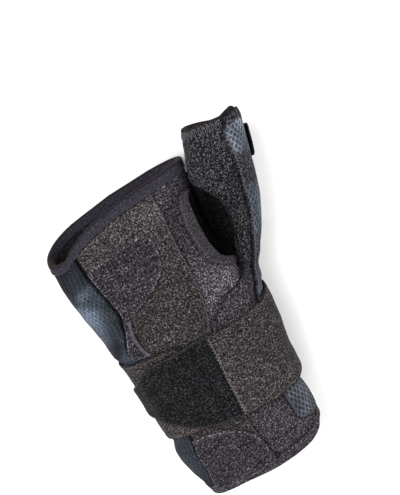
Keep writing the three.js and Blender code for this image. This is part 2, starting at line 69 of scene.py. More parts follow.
def startMaterial(name, roughness, sheen, sheenRoughness):
    material = bpy.data.materials.new(name)
    material.use_nodes = True
    tree = material.node_tree
    tree.nodes.clear()
    shader = addNode(tree, "ShaderNodeBsdfPrincipled", {
        "Roughness": roughness, "IOR": 1.53,  # polyester and nylon
        "Specular IOR Level": 0.07,  # loose fibres scatter most of the shine
        "Sheen Weight": sheen, "Sheen Roughness": sheenRoughness, "Sheen Tint": linear("#b9bcc6"),
    })
    addNode(tree, "ShaderNodeOutputMaterial", {"Surface": shader.outputs["BSDF"]})
    return material, tree, shader


def rimmed(tree, colour, spec):  # a thin dark rim where the cloth is turned in at a free end
    if "rimAt" not in spec:
        return colour
    cut = addNode(tree, "ShaderNodeUVMap", uv_map="clothMm").outputs["UV"]
    along = addNode(tree, "ShaderNodeSeparateXYZ", {0: cut})
    off = addNode(tree, "ShaderNodeMath", {0: along.outputs["Y"], 1: spec["rimAt"]}, operation="SUBTRACT")
    near = addNode(tree, "ShaderNodeMath", {0: off.outputs[0]}, operation="ABSOLUTE")
    share = addNode(tree, "ShaderNodeMapRange", {
        "Value": near.outputs[0], "From Min": 0.5, "From Max": 1.3, "To Min": 0.85, "To Max": 0.0})
    mix = addNode(tree, "ShaderNodeMix", {
        0: share.outputs[0], 6: colour, 7: linear(spec["rim"])}, data_type="RGBA")
    return mix.outputs[2]


def blended(tree, colour, grain, spec):  # another cloth's colours, where the piece's own "blend" says so
    if "second" not in spec:
        return colour
    other = addNode(tree, "ShaderNodeValToRGB", {"Fac": grain}, ramp=spec["second"])
    share = addNode(tree, "ShaderNodeAttribute", attribute_name="blend")
    mix = addNode(tree, "ShaderNodeMix", {
        0: share.outputs["Fac"], 6: colour, 7: other.outputs["Color"]}, data_type="RGBA")
    return mix.outputs[2]


def naps(spec):  # from the dark pits to the pale fibre ends
    return [(0.39, spec["pit"]), (0.455, spec["deep"]), (0.52, spec["mid"]), (0.575, spec["high"]),
            (0.65, spec["fleck"])]


# Brushed nylon loop cloth, knitted and then napped: a matt cloth of dark pits and pale fibre ends
def brushedLoop(name, spec):
    material, tree, shader = startMaterial(name, 0.95, 0.02, 0.5)
    place = addNode(tree, "ShaderNodeTexCoord").outputs["Object"]
    # Loops of nap are 0.3 mm across; drawn about 0.9 mm so that they show from this far
    ends = addNode(tree, "ShaderNodeTexNoise", {
        "Vector": place, "Scale": 1000 / spec["loopMm"], "Detail": 3.0, "Roughness": 0.8})
    # Clumps of nap, 4 mm, and slow changes of shade, 30 mm
    clumps = addNode(tree, "ShaderNodeTexNoise", {
        "Vector": place, "Scale": 260.0, "Detail": 3.0, "Roughness": 0.7})
    drift = addNode(tree, "ShaderNodeTexNoise", {"Vector": place, "Scale": 34.0, "Detail": 2.0})
    body = addNode(tree, "ShaderNodeValToRGB", {"Fac": ends.outputs["Fac"]}, ramp=naps(spec))
    nap = addNode(tree, "ShaderNodeMapRange", {
        "Value": clumps.outputs["Fac"], "From Min": 0.3, "From Max": 0.7, "To Min": 0.78, "To Max": 1.24})
    slow = addNode(tree, "ShaderNodeMapRange", {
        "Value": drift.outputs["Fac"], "From Min": 0.3, "From Max": 0.7, "To Min": 0.84, "To Max": 1.16})
    # painted shade along the rounded cut edges; where edgeShade is above 1, as on the tabs, a painted
    # highlight instead
    edge = addNode(tree, "ShaderNodeAttribute", attribute_name="edgeMm")
    paintedEdgeShading = addNode(tree, "ShaderNodeMapRange", {
        "Value": edge.outputs["Fac"], "From Min": spec["edgeMm"] * 0.7, "From Max": spec["edgeMm"] * 1.3,
        "To Min": spec["edgeShade"], "To Max": 1.0})
    # the piece's tone attribute: tones by place and, on some pieces, painted light and shade
    toneAndPaintedLight = addNode(tree, "ShaderNodeAttribute", attribute_name="tone")
    tone = slow.outputs[0]
    for more in (nap.outputs[0], paintedEdgeShading.outputs[0], toneAndPaintedLight.outputs["Fac"]):
        tone = addNode(tree, "ShaderNodeMath", {0: tone, 1: more}, operation="MULTIPLY").outputs[0]
    cloths = blended(tree, body.outputs["Color"], ends.outputs["Fac"], spec)
    shade = addNode(tree, "ShaderNodeVectorMath", {0: cloths, "Scale": tone}, operation="SCALE")
    tree.links.new(rimmed(tree, shade.outputs[0], spec), shader.inputs["Base Color"])
    height = addNode(tree, "ShaderNodeMath", {
        0: ends.outputs["Fac"], 1: 0.8, 2: clumps.outputs["Fac"]}, operation="MULTIPLY_ADD")
    bump = addNode(tree, "ShaderNodeBump", {
        "Height": height.outputs[0], "Strength": 0.7, "Distance": 0.0007})
    tree.links.new(bump.outputs["Normal"], shader.inputs["Normal"])
    return material


# Warp-knitted polyester spacer mesh, printed in soft patches: small dark holes in rows, a cool grey cloth
def spacerMesh(name, spec):
    material, tree, shader = startMaterial(name, 0.85, 0.03, 0.45)
    place = addNode(tree, "ShaderNodeTexCoord").outputs["Object"]
    cut = addNode(tree, "ShaderNodeUVMap", uv_map="clothMm").outputs["UV"]
    patch = addNode(tree, "ShaderNodeTexNoise", {
        "Vector": place, "Scale": 1000 / spec["patchMm"],
        "Detail": 1.5, "Roughness": 0.4, "Distortion": 0.9})
    printed = addNode(tree, "ShaderNodeValToRGB", {"Fac": patch.outputs["Fac"]}, ramp=spec["patches"])
    # Knitted openings stand 1.5 mm apart in offset rows, longer than wide; drawn 2 to 2.3 mm apart to show
    longer = addNode(tree, "ShaderNodeMapping", {"Vector": cut, "Scale": (1.0, 0.72, 1)})
    turned = addNode(tree, "ShaderNodeMapping", {
        "Vector": longer.outputs["Vector"], "Rotation": (0, 0, math.radians(45)),
        "Scale": (1 / spec["holeMm"], 1 / spec["holeMm"], 1)})
    holes = addNode(tree, "ShaderNodeTexVoronoi", {
        "Vector": turned.outputs["Vector"], "Scale": 1.0, "Randomness": 0.1},
        voronoi_dimensions="2D", distance="CHEBYCHEV")
    gape = addNode(tree, "ShaderNodeMapRange", {
        "Value": holes.outputs["Distance"], "From Min": spec["gape"], "From Max": 0.42,
        "To Min": 1.0, "To Max": 0.0})
    yarn = addNode(tree, "ShaderNodeTexNoise", {
        "Vector": place, "Scale": 1150.0, "Detail": 2.0, "Roughness": 0.7})
    speck = addNode(tree, "ShaderNodeMapRange", {
        "Value": yarn.outputs["Fac"], "From Min": 0.34, "From Max": 0.68, "To Min": 0.4, "To Max": 1.6})
    faded = addNode(tree, "ShaderNodeVectorMath", {
        0: printed.outputs["Color"], "Scale": speck.outputs[0]}, operation="SCALE")
    depth = addNode(tree, "ShaderNodeMath", {0: gape.outputs[0], 1: spec["holeDark"]}, operation="MULTIPLY")
    colour = addNode(tree, "ShaderNodeMix", {
        0: depth.outputs[0], 6: faded.outputs[0], 7: linear("#0d0e10")}, data_type="RGBA")
    # painted shade along the edges
    edge = addNode(tree, "ShaderNodeAttribute", attribute_name="edgeMm")
    paintedEdgeShading = addNode(tree, "ShaderNodeMapRange", {
        "Value": edge.outputs["Fac"], "From Min": 0.8, "From Max": 1.7, "To Min": 0.3, "To Max": 1.0})
    # the piece's tone attribute: print tones and, on the stay cover, painted shade
    toneAndPaintedLight = addNode(tree, "ShaderNodeAttribute", attribute_name="tone")
    tone = addNode(tree, "ShaderNodeMath", {
        0: paintedEdgeShading.outputs[0], 1: toneAndPaintedLight.outputs["Fac"]}, operation="MULTIPLY")
    cloths = blended(tree, colour.outputs[2], yarn.outputs["Fac"], spec)
    shade = addNode(tree, "ShaderNodeVectorMath", {0: cloths, "Scale": tone.outputs[0]}, operation="SCALE")
    tree.links.new(shade.outputs[0], shader.inputs["Base Color"])
    height = addNode(tree, "ShaderNodeMath", {
        0: gape.outputs[0], 1: -1.0, 2: yarn.outputs["Fac"]}, operation="MULTIPLY_ADD")
    bump = addNode(tree, "ShaderNodeBump", {
        "Height": height.outputs[0], "Strength": 0.8, "Distance": 0.0006})
    tree.links.new(bump.outputs["Normal"], shader.inputs["Normal"])
    return material


# Folded stretch binding, knitted nylon: smoother and bluer than the cloth, with faint ribs along it
def stretchBinding(name, spec):
    material, tree, shader = startMaterial(name, 0.85, 0.04, 0.35)
    place = addNode(tree, "ShaderNodeTexCoord").outputs["Object"]
    cut = addNode(tree, "ShaderNodeUVMap", uv_map="clothMm").outputs["UV"]
    # Ribs are 0.5 mm apart; drawn 0.9 mm to show
    ribs = addNode(tree, "ShaderNodeTexWave", {
        "Vector": cut, "Scale": 2 * math.pi / (20 * 0.9), "Distortion": 0.6, "Detail": 1.0},
        wave_type="BANDS", bands_direction=spec["ribs"])
    fluff = addNode(tree, "ShaderNodeTexNoise", {
        "Vector": place, "Scale": 1000.0, "Detail": 3.0, "Roughness": 0.8})
    body = addNode(tree, "ShaderNodeValToRGB", {"Fac": fluff.outputs["Fac"]}, ramp=[
        (0.36, spec["deep"]), (0.52, spec["mid"]), (0.70, spec["high"])])
    lines = addNode(tree, "ShaderNodeMapRange", {
        "Value": ribs.outputs["Fac"], "From Min": 0.0, "From Max": 1.0, "To Min": 0.94, "To Max": 1.04})
    shade = addNode(tree, "ShaderNodeVectorMath", {
        0: body.outputs["Color"], "Scale": lines.outputs[0]}, operation="SCALE")
    tree.links.new(rimmed(tree, shade.outputs[0], spec), shader.inputs["Base Color"])
    height = addNode(tree, "ShaderNodeMath", {
        0: fluff.outputs["Fac"], 1: 2.5, 2: ribs.outputs["Fac"]}, operation="MULTIPLY_ADD")
    bump = addNode(tree, "ShaderNodeBump", {
        "Height": height.outputs[0], "Strength": 0.4, "Distance": 0.0002})
    tree.links.new(bump.outputs["Normal"], shader.inputs["Normal"])
    return material


# Moulded nylon hook tape: near black, in rows of tiny hooks that catch the light
def hookTape(name, spec):
    material, tree, shader = startMaterial(name, 0.75, 0.0, 0.3)
    place = addNode(tree, "ShaderNodeTexCoord").outputs["Object"]
    cut = addNode(tree, "ShaderNodeUVMap", uv_map="clothMm").outputs["UV"]
    # Hooks stand 1.3 mm apart in rows
    grid = addNode(tree, "ShaderNodeMapping", {"Vector": cut, "Scale": (1 / 1.3, 1 / 1.3, 1)})
    hooks = addNode(tree, "ShaderNodeTexVoronoi", {
        "Vector": grid.outputs["Vector"], "Scale": 1.0, "Randomness": 0.55}, voronoi_dimensions="2D")
    grit = addNode(tree, "ShaderNodeTexNoise", {
        "Vector": place, "Scale": 1100.0, "Detail": 2.0, "Roughness": 0.7})
    body = addNode(tree, "ShaderNodeValToRGB", {"Fac": grit.outputs["Fac"]}, ramp=[
        (0.36, spec["deep"]), (0.52, spec["mid"]), (0.70, spec["high"])])
    tip = addNode(tree, "ShaderNodeMapRange", {
        "Value": hooks.outputs["Distance"], "From Min": 0.08, "From Max": 0.4,
        "To Min": 1.3, "To Max": 0.8})
    shade = addNode(tree, "ShaderNodeVectorMath", {
        0: body.outputs["Color"], "Scale": tip.outputs[0]}, operation="SCALE")
    tree.links.new(shade.outputs[0], shader.inputs["Base Color"])
    height = addNode(tree, "ShaderNodeMath", {
        0: hooks.outputs["Distance"], 1: -1.4, 2: grit.outputs["Fac"]}, operation="MULTIPLY_ADD")
    bump = addNode(tree, "ShaderNodeBump", {
        "Height": height.outputs[0], "Strength": 0.6, "Distance": 0.0005})
    tree.links.new(bump.outputs["Normal"], shader.inputs["Normal"])
    return material


# Twisted polyester thread: a slight gloss and a lighter grey than the cloth it holds
def sewingThread(name, spec):
    material, tree, shader = startMaterial(name, 0.6, 0.1, 0.4)
    place = addNode(tree, "ShaderNodeTexCoord").outputs["Object"]
    twist = addNode(tree, "ShaderNodeTexNoise", {"Vector": place, "Scale": 1600.0, "Detail": 2.0})
    body = addNode(tree, "ShaderNodeValToRGB", {"Fac": twist.outputs["Fac"]}, ramp=[
        (0.3, spec["deep"]), (0.7, spec["high"])])
    tree.links.new(body.outputs["Color"], shader.inputs["Base Color"])
    bump = addNode(tree, "ShaderNodeBump", {
        "Height": twist.outputs["Fac"], "Strength": 0.5, "Distance": 0.0002})
    tree.links.new(bump.outputs["Normal"], shader.inputs["Normal"])
    return material


greyYarn = {
    "pit": "#0a090b", "deep": "#1b181b", "mid": "#302c30", "high": "#4a454b", "fleck": "#7f7980",
    "loopMm": 0.86, "edgeMm": 0.7, "edgeShade": 0.6}
greyLoop = brushedLoop("brushed nylon loop, purple grey", greyYarn)
tabYarn = {**greyYarn, "deep": "#161417", "mid": "#262327", "high": "#3e3a40", "fleck": "#726c73"}
# an edgeShade above 1 paints a highlight along the tabs' cut edges, where the light catches them
tabLoop = brushedLoop("brushed nylon loop, cut edge, painted highlight", {**tabYarn, "edgeMm": 1.1, "edgeShade": 2.1})
turnedLoop = brushedLoop("brushed nylon loop, turned end", {**greyYarn, "rimAt": 0.0, "rim": "#171012"})
heatherLoop = brushedLoop("brushed nylon loop, brown heather", {
    "pit": "#0a0809", "deep": "#191616", "mid": "#2d2929", "high": "#464142", "fleck": "#777172",
    "loopMm": 0.86, "edgeMm": 1.0, "edgeShade": 0.4})
blueYarn = {
    "pit": "#030304", "deep": "#0c0c0e", "mid": "#201f21", "high": "#3b3a3e", "fleck": "#74747b",
    "loopMm": 0.9, "edgeMm": 1.0, "edgeShade": 0.5}
blueLoop = brushedLoop("brushed nylon loop, blue flecks", {**blueYarn, "second": naps(greyYarn)})
overlockLoop = brushedLoop("brushed nylon loop, overlocked end", {
    **blueYarn, "rimAt": 5.0, "rim": "#1d1214"})
fleeceLining = brushedLoop("brushed polyester fleece lining", {
    "pit": "#0b0b0c", "deep": "#121113", "mid": "#19181a", "high": "#222123", "fleck": "#2c2b2e",
    "loopMm": 1.4, "edgeMm": 0.7, "edgeShade": 1.0})
printedMesh = spacerMesh("printed polyester spacer mesh", {
    "patchMm": 34.0, "holeMm": 2.0, "holeDark": 0.55, "gape": 0.2,
    "patches": [(0.40, "#22262b"), (0.48, "#373d46"), (0.56, "#4f5865"), (0.68, "#5e6776")]})
coverMesh = spacerMesh("polyester spacer mesh, stay cover", {
    "patchMm": 30.0, "holeMm": 2.3, "holeDark": 0.74, "gape": 0.26, "second": naps(blueYarn),
    "patches": [(0.36, "#434853"), (0.45, "#5b616c"), (0.56, "#737985"), (0.7, "#868b96")]})
edgeBinding = stretchBinding("knitted nylon binding", {
    "deep": "#1a181d", "mid": "#2a2830", "high": "#464450", "ribs": "Y", "rimAt": 6.5, "rim": "#1a1113"})
hemBinding = stretchBinding("knitted nylon hem tape", {
    "deep": "#171518", "mid": "#2e2b2f", "high": "#545056", "ribs": "X"})
edgingBinding = stretchBinding("knitted nylon edging tape", {
    "deep": "#2c2a30", "mid": "#46434b", "high": "#65616a", "ribs": "X"})
blackHook = hookTape("moulded nylon hook tape", {"deep": "#010102", "mid": "#0b0b0c", "high": "#3f4044"})
greyThread = sewingThread("polyester thread, grey", {"deep": "#3f3d43", "high": "#6b6870"})
paleThread = sewingThread("polyester thread, pale grey", {"deep": "#4f4c4b", "high": "#84817e"})
darkThread = sewingThread("polyester thread, charcoal", {"deep": "#262428", "high": "#4b484d"})
brownThread = sewingThread("polyester thread, brown grey", {"deep": "#35302d", "high": "#655d56"})
print("materials made")


# Shapes below are the same formulas and tables as the solids have
def ease(low, high, x):
    t = np.clip((x - low) / (high - low), 0, 1)
    return t * t * (3 - 2 * t)


def rail(places, values, at):  # a smooth line through a table, without overshoot
    x, v = np.asarray(places, float), np.asarray(values, float)
    at = np.clip(np.asarray(at, float), x[0], x[-1])
    step = np.diff(x)
    grade = np.diff(v) / step
    slope = np.empty_like(x)
    slope[0], slope[-1] = grade[0], grade[-1]
    both = grade[:-1] * grade[1:]
    same = both > 0
    slope[1:-1] = np.where(same, 2 * both / np.where(same, grade[:-1] + grade[1:], 1), 0)
    i = np.clip(np.searchsorted(x, at, side="left") - 1, 0, len(x) - 2)
    h = step[i]
    t = (at - x[i]) / h
    t2, t3 = t * t, t * t * t
    return ((2 * t3 - 3 * t2 + 1) * v[i] + (t3 - 2 * t2 + t) * h * slope[i]
            + (3 * t2 - 2 * t3) * v[i + 1] + (t3 - t2) * h * slope[i + 1])


cloth = {"wall": 3.0, "thumbWall": 2.4, "gap": 0.35, "endGap": 0.8, "rimProud": 0.4}
tube = {  # the main tube, from the forearm end to the palm end, by y
    "y": [-96, -80, -64, -48, -30, -10, 8, 28, 45, 60, 78],
    "ulnar": [-41.6, -45.6, -47.8, -47.6, -47.6, -48.0, -49.4, -51.4, -53.2, -52.6, -50.0],
    "radial": [32.4, 32.6, 32.0, 32.8, 35.2, 38.0, 37.5, 36.5, 36.0, 35.8, 39.0],
    "height": [47.0, 49.0, 50.5, 51.5, 52.0, 52.5, 52.0, 49.0, 45.5, 42.0, 39.0],
    "square": [2.25, 2.3, 2.35, 2.4, 2.4, 2.4, 2.4, 2.45, 2.5, 2.55, 2.6],
    "forearmEnd": -96, "palmEnd": 78, "baseSink": 1.5, "rimLift": 0.5,
}
strapPlace = {"middle": -32.5, "width": 51.0, "cinch": 2.0, "loose": 84.0}
strapLow = strapPlace["middle"] - strapPlace["width"] / 2
strapHigh = strapPlace["middle"] + strapPlace["width"] / 2
palmEdge = {
    "at": [-90, -20, 21, 56, 79, 91, 103, 114, 125, 132, 139, 153, 180, 205, 235, 270],
    "y": [73, 74.4, 75.3, 76, 75.4, 74.8, 73.4, 70.9, 67.2, 64.2, 61.4, 60.8, 62, 65, 69.5, 73],
}
forearmEdge = {
    "at": [-90, 0, 21, 34, 54, 84, 114, 163, 200, 270],
    "y": [-93, -89, -89.5, -93, -95.4, -96, -95.2, -97.5, -95.5, -93],
}


def waves(x, y, z):  # slow unevenness of worn cloth, shared by all layers so they keep their gaps
    lift = (0.32 * np.sin(0.115 * y + 0.05 * x + 0.6) * np.sin(0.09 * x - 0.06 * y + 1.3)
            + 0.24 * np.sin(0.21 * y - 0.12 * x + 2.1) * np.cos(0.13 * x + 0.05 * y)
            + 0.12 * np.sin(0.43 * y + 0.22 * x) * np.sin(0.3 * x - 0.15 * y + 0.4))
    return lift * ease(4, 14, z)


def section(y):
    ulnar, radial = rail(tube["y"], tube["ulnar"], y), rail(tube["y"], tube["radial"], y)
    height = rail(tube["y"], tube["height"], y)
    below, above = ease(strapLow - 8, strapLow - 1, y), ease(strapHigh + 1, strapHigh + 8, y)
    cinch = strapPlace["cinch"] * below * (1 - above)
    palm = ease(tube["palmEnd"] - 20, tube["palmEnd"] - 12, y)
    forearm = 1 - ease(tube["forearmEnd"] + 12, tube["forearmEnd"] + 20, y)
    return {
        "x": (ulnar + radial) / 2, "z": (height - tube["baseSink"]) / 2,
        "wide": (radial - ulnar) / 2 - cinch, "tall": (height + tube["baseSink"] - cinch) / 2,
        "square": rail(tube["y"], tube["square"], y), "floor": cinch + tube["rimLift"] * (palm + forearm),
    }


def radiusAt(part, angle, more):
    c = np.abs(np.cos(angle) / (part["wide"] + more)) ** part["square"]
    s = np.abs(np.sin(angle) / (part["tall"] + more)) ** part["square"]
    return (c + s) ** (-1 / part["square"])


def tubeOutline(part, deg):
    turn = np.radians(deg)
    a = np.arctan2(part["tall"] * np.sin(turn), part["wide"] * np.cos(turn))
    r = radiusAt(part, a, 0)
    return part["x"] + r * np.cos(a), np.maximum(part["z"] + r * np.sin(a), part["floor"])


def tubePoint(y, deg, off):
    y, deg, off = np.broadcast_arrays(np.asarray(y, float), np.asarray(deg, float), np.asarray(off, float))
    part = section(y)
    x, z = tubeOutline(part, deg)
    bx, bz = tubeOutline(part, deg - 0.5)
    ax, az = tubeOutline(part, deg + 0.5)
    dx, dz = ax - bx, az - bz
    long = np.hypot(dx, dz)
    off = off + waves(x, y, z)
    return np.stack([x + dz / long * off, y, np.maximum(0, z - dx / long * off)], -1)


def tubeLength(s, deg):  # follows the slanting cut of both ends
    turned = (np.asarray(deg, float) + 90) % 360 - 90
    palm = (rail(palmEdge["at"], palmEdge["y"], turned) - tube["palmEnd"]) * ease(36, tube["palmEnd"], s)
    cut = rail(forearmEdge["at"], forearmEdge["y"], turned) - tube["forearmEnd"]
    return s + palm + cut * (1 - ease(tube["forearmEnd"], -60, s))


thumb = {  # the thumb sleeve's tube, by length along it
    "start": (25.6, 0.0, 24.5), "lean": 24.5, "rise": 2.0,
    "at": [-14, 0, 12, 22, 34, 48, 60, 72, 86, 100],
    "radial": [17.0, 16.0, 15.2, 16.0, 17.8, 18.3, 17.2, 15.2, 12.8, 10.8],
    "ulnar": [16.0, 16.0, 16.0, 16.2, 17.0, 18.2, 19.2, 18.8, 18.5, 18.2],
    "half": [16.0, 16.0, 16.2, 16.5, 16.6, 16.6, 16.2, 15.6, 15.3, 15.1],
    "hugFrom": -8, "hugTo": 20, "hugMiddle": 8, "hugShare": 0.66, "soft": 5, "top": 96, "binding": 5,
}
thumbEdge = {
    "at": [-180, -80, -20, 0, 20, 37, 59, 89, 121, 153, 180],
    "t": [89, 89.6, 91.4, 93.6, 97.2, 100.4, 99.6, 96.6, 93.6, 90.2, 89],
}
lean, rise = math.radians(thumb["lean"]), math.radians(thumb["rise"])
alongThumb = np.array([math.sin(lean) * math.cos(rise), math.cos(lean) * math.cos(rise), math.sin(rise)])
acrossThumb = np.array([math.cos(lean), -math.sin(lean), 0.0])
upThumb = np.cross(acrossThumb, alongThumb)


def drape(p, distance, soft):  # keeps the thumb cloth outside the tube
    part = section(np.clip(p[..., 1], tube["forearmEnd"], tube["palmEnd"]))
    dx, dz = p[..., 0] - part["x"], p[..., 2] - part["z"]
    angle, here = np.arctan2(dz, dx), np.hypot(dx, dz)
    least = radiusAt(part, angle, distance)
    near = np.clip(0.5 + 0.5 * (here - least) / np.maximum(soft, 0.01), 0, 1)
    share = np.where(soft > 0.01, near, here > least)
    kept = least * (1 - share) + here * share + soft * share * (1 - share)
    radius = here + (kept - here) * (1 - ease(tube["palmEnd"], tube["palmEnd"] + 10, p[..., 1]))
    return np.stack([part["x"] + radius * np.cos(angle), p[..., 1], part["z"] + radius * np.sin(angle)], -1)


def thumbSurface(t, deg):
    t, deg = np.broadcast_arrays(np.asarray(t, float), np.asarray(deg, float))
    c, s = np.cos(np.radians(deg)), np.sin(np.radians(deg))
    half = np.where(c > 0, rail(thumb["at"], thumb["radial"], t), rail(thumb["at"], thumb["ulnar"], t))
    tall = rail(thumb["at"], thumb["half"], t)
    core = (np.array(thumb["start"]) + t[..., None] * alongThumb
            + (half * c)[..., None] * acrossThumb + (tall * s)[..., None] * upThumb)
    hug = thumb["hugMiddle"] + thumb["hugShare"] * deg
    lying = tubePoint(t * alongThumb[1], hug, cloth["gap"] + cloth["thumbWall"])
    own = ease(thumb["hugFrom"], thumb["hugTo"], t)
    beside = cloth["thumbWall"] * (1 - ease(110, 160, np.abs(deg)))
    mixed = lying + (core - lying) * own[..., None]
    draped = drape(mixed, cloth["gap"] + cloth["rimProud"] + beside, thumb["soft"] * np.clip(own * 4, 0, 1))
    return np.where((own <= 0)[..., None], lying, draped)


def thumbPoint(t, deg, off):
    t, deg, off = np.broadcast_arrays(np.asarray(t, float), np.asarray(deg, float), np.asarray(off, float))
    long = thumbSurface(t + 0.4, deg) - thumbSurface(t - 0.4, deg)
    around = thumbSurface(t, deg + 1) - thumbSurface(t, deg - 1)
    out = np.cross(long, around)
    out /= np.linalg.norm(out, axis=-1, keepdims=True)
    return thumbSurface(t, deg) + out * off[..., None]


def thumbLength(t, deg):
    cut = rail(thumbEdge["at"], thumbEdge["t"], deg) - thumb["top"]
    return t + cut * ease(52, thumb["top"], t)


def edged(length, step, soft):  # places 0 to 1 along a length, close together near both ends
    soft = min(soft, 0.3 * length)
    near = soft * np.array([0, 0.06, 0.2, 0.45, 0.75])
    inner = np.linspace(soft, length - soft, max(2, int(round((length - 2 * soft) / step)) + 1))
    return np.concatenate([near, inner, length - near[::-1]]) / length


def edgedAcross(widths, step, soft):  # the same for rows of different widths, with one count for all
    count = max(2, int(round((widths.max() - 2 * soft) / step)) + 1)
    rows = []
    for width in widths:
        kept = min(soft, 0.3 * width)
        near = kept * np.array([0, 0.06, 0.2, 0.45, 0.75])
        inner = np.linspace(kept, width - kept, count)
        rows.append(np.concatenate([near, inner, width - near[::-1]]) / max(width, 1e-6))
    return np.array(rows)


def fine(points, parts):  # a polyline with more points on each stretch
    out = [a + (b - a) * k / parts for a, b in zip(points[:-1], points[1:]) for k in range(parts)]
    return np.array(out + [points[-1]])


def putMesh(name, points, faces, materials):
    mesh = bpy.data.meshes.new(name)
    mesh.from_pydata(((points + toOrigin) / 1000).tolist(), [], faces)
    for material in materials:
        mesh.materials.append(material)
    mesh.polygons.foreach_set("use_smooth", np.ones(len(mesh.polygons), bool))
    mesh.update()
    piece = bpy.data.objects.new(name, mesh)
    bpy.context.scene.collection.objects.link(piece)
    return piece


def placer(spot, rails):  # spot takes a row, a place across and a height; this takes a share across
    def place(row, share, off):
        low = rail(rails["at"], rails["start"], row)
        return spot(row, low + (rail(rails["at"], rails["end"], row) - low) * share, off)
    return place


def nearness(points, rim):  # distance from each point to the nearest of the rim's
    tree = kdtree.KDTree(len(rim))
    for k, p in enumerate(rim):
        tree.insert(p, k)
    tree.balance()
    return np.array([tree.find(p)[2] for p in points.reshape(-1, 3)]).reshape(points.shape[:-1])


def sew(name, spot, rails, spec, outside, inside=None):
    place, thick = placer(spot, rails), spec["thick"]
    closed = spec.get("closed", False)  # a band right round, without a seam
    step, soft = spec.get("step", 1.1), spec.get("soft", thick * 0.5)
    ends = rails["at"][0], rails["at"][-1]
    probe = place(np.linspace(*ends, 80)[:, None], np.array([[0.5]]), thick / 2)[:, 0]
    long = np.linalg.norm(np.diff(probe, axis=0), axis=1).sum()
    rows = (ends[0] + (ends[1] - ends[0]) * edged(long, step, soft))[:, None]
    probe = place(rows, np.linspace(0, 1, 33)[None, :], thick / 2)
    wide = np.linalg.norm(np.diff(probe, axis=1), axis=2).sum(1)
    if closed:
        shares = np.repeat(np.linspace(0, 1, int(wide.max() / step))[None, :], len(rows), 0)
    else:
        shares = edgedAcross(wide, step, soft)
    middle = place(rows, shares, thick / 2)
    n, m = middle.shape[:2]
    sides = [] if closed else [middle[1:, -1], middle[::-1, 0][1:]]
    rims = [fine(line, 4) for line in (middle[0], middle[-1], *sides)]
    edge = nearness(middle, np.concatenate(rims))
    full = np.sqrt(np.clip(1 - (1 - np.clip(edge / soft, 0, 1)) ** 2, 0, 1))
    relief = spec["relief"](rows, shares) * full if "relief" in spec else 0
    outer = place(rows, shares, thick / 2 + full * thick / 2 + relief)
    inner = place(rows, shares, thick / 2 - full * thick / 2)
    # one closed skin: the two faces share their edge points
    top = np.arange(n * m).reshape(n, m)
    under = top + n * m
    under[0], under[-1] = top[0], top[-1]
    if closed:
        top[:, -1] = top[:, 0]
        under[:, -1] = under[:, 0]
    else:
        under[:, 0], under[:, -1] = top[:, 0], top[:, -1]
    points = np.concatenate([outer.reshape(-1, 3), inner.reshape(-1, 3)])
    used = np.zeros(len(points), bool)
    used[top.ravel()] = used[under.ravel()] = True
    number = np.cumsum(used) - 1
    cell = np.arange(n * m).reshape(n, m)
    cell = np.stack([cell[:-1, :-1], cell[:-1, 1:], cell[1:, 1:], cell[1:, :-1]], -1).reshape(-1, 4)
    cells = np.concatenate([cell, cell[:, ::-1]])
    faces = number[np.concatenate([top.ravel()[cell], under.ravel()[cell[:, ::-1]]])]
    widths = np.linalg.norm(np.diff(middle, axis=1), axis=2)
    acrossMm = np.concatenate([np.zeros((n, 1)), np.cumsum(widths, 1)], 1)
    acrossMm -= acrossMm[:, m // 2:m // 2 + 1]
    spine = middle[:, m // 2]
    alongMm = np.concatenate([[0], np.cumsum(np.linalg.norm(np.diff(spine, axis=0), axis=1))])
    flat = np.stack([acrossMm, np.broadcast_to(alongMm[:, None], (n, m))], -1).reshape(-1, 2)
    points = points[used]
    volume = (points[faces[:, 0]] * np.cross(points[faces[:, 1]], points[faces[:, 2]])).sum()
    if volume < 0:
        faces, cells = faces[:, ::-1], cells[:, ::-1]
    piece = putMesh(name, points, faces.tolist(), [outside, inside] if inside else [outside])
    mesh = piece.data
    mesh.polygons.foreach_set("material_index", np.repeat([0, 1 if inside else 0], len(cell)))
    layer = mesh.uv_layers.new(name="clothMm")
    layer.data.foreach_set("uv", flat[cells].astype(np.float32).ravel())
    # distance from the edge, shades, and the second cloth's share, by place on the piece
    tone = spec["tone"](rows, shares) if "tone" in spec else 1.0
    blend = spec["blend"](rows, shares) if "blend" in spec else 0.0
    for key, values in (("edgeMm", edge), ("tone", tone), ("blend", blend)):
        values = np.concatenate([np.broadcast_to(values, (n, m)).ravel()] * 2)[used]
        mesh.attributes.new(key, "FLOAT", "POINT").data.foreach_set("value", values.astype(np.float32))
    mesh.update()
    skew = np.cross(middle[1:, 1:] - middle[:-1, :-1], middle[1:, :-1] - middle[:-1, 1:])
    area = np.linalg.norm(skew, axis=2).sum() / 2
    print(f"{name}: cut {wide.max():.0f} x {long:.0f} mm, area {area:.0f} mm2, {4 * len(cell)} triangles")
    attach(piece, "root")
    if spec["replaces"]:
        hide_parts(*spec["replaces"])
    return piece


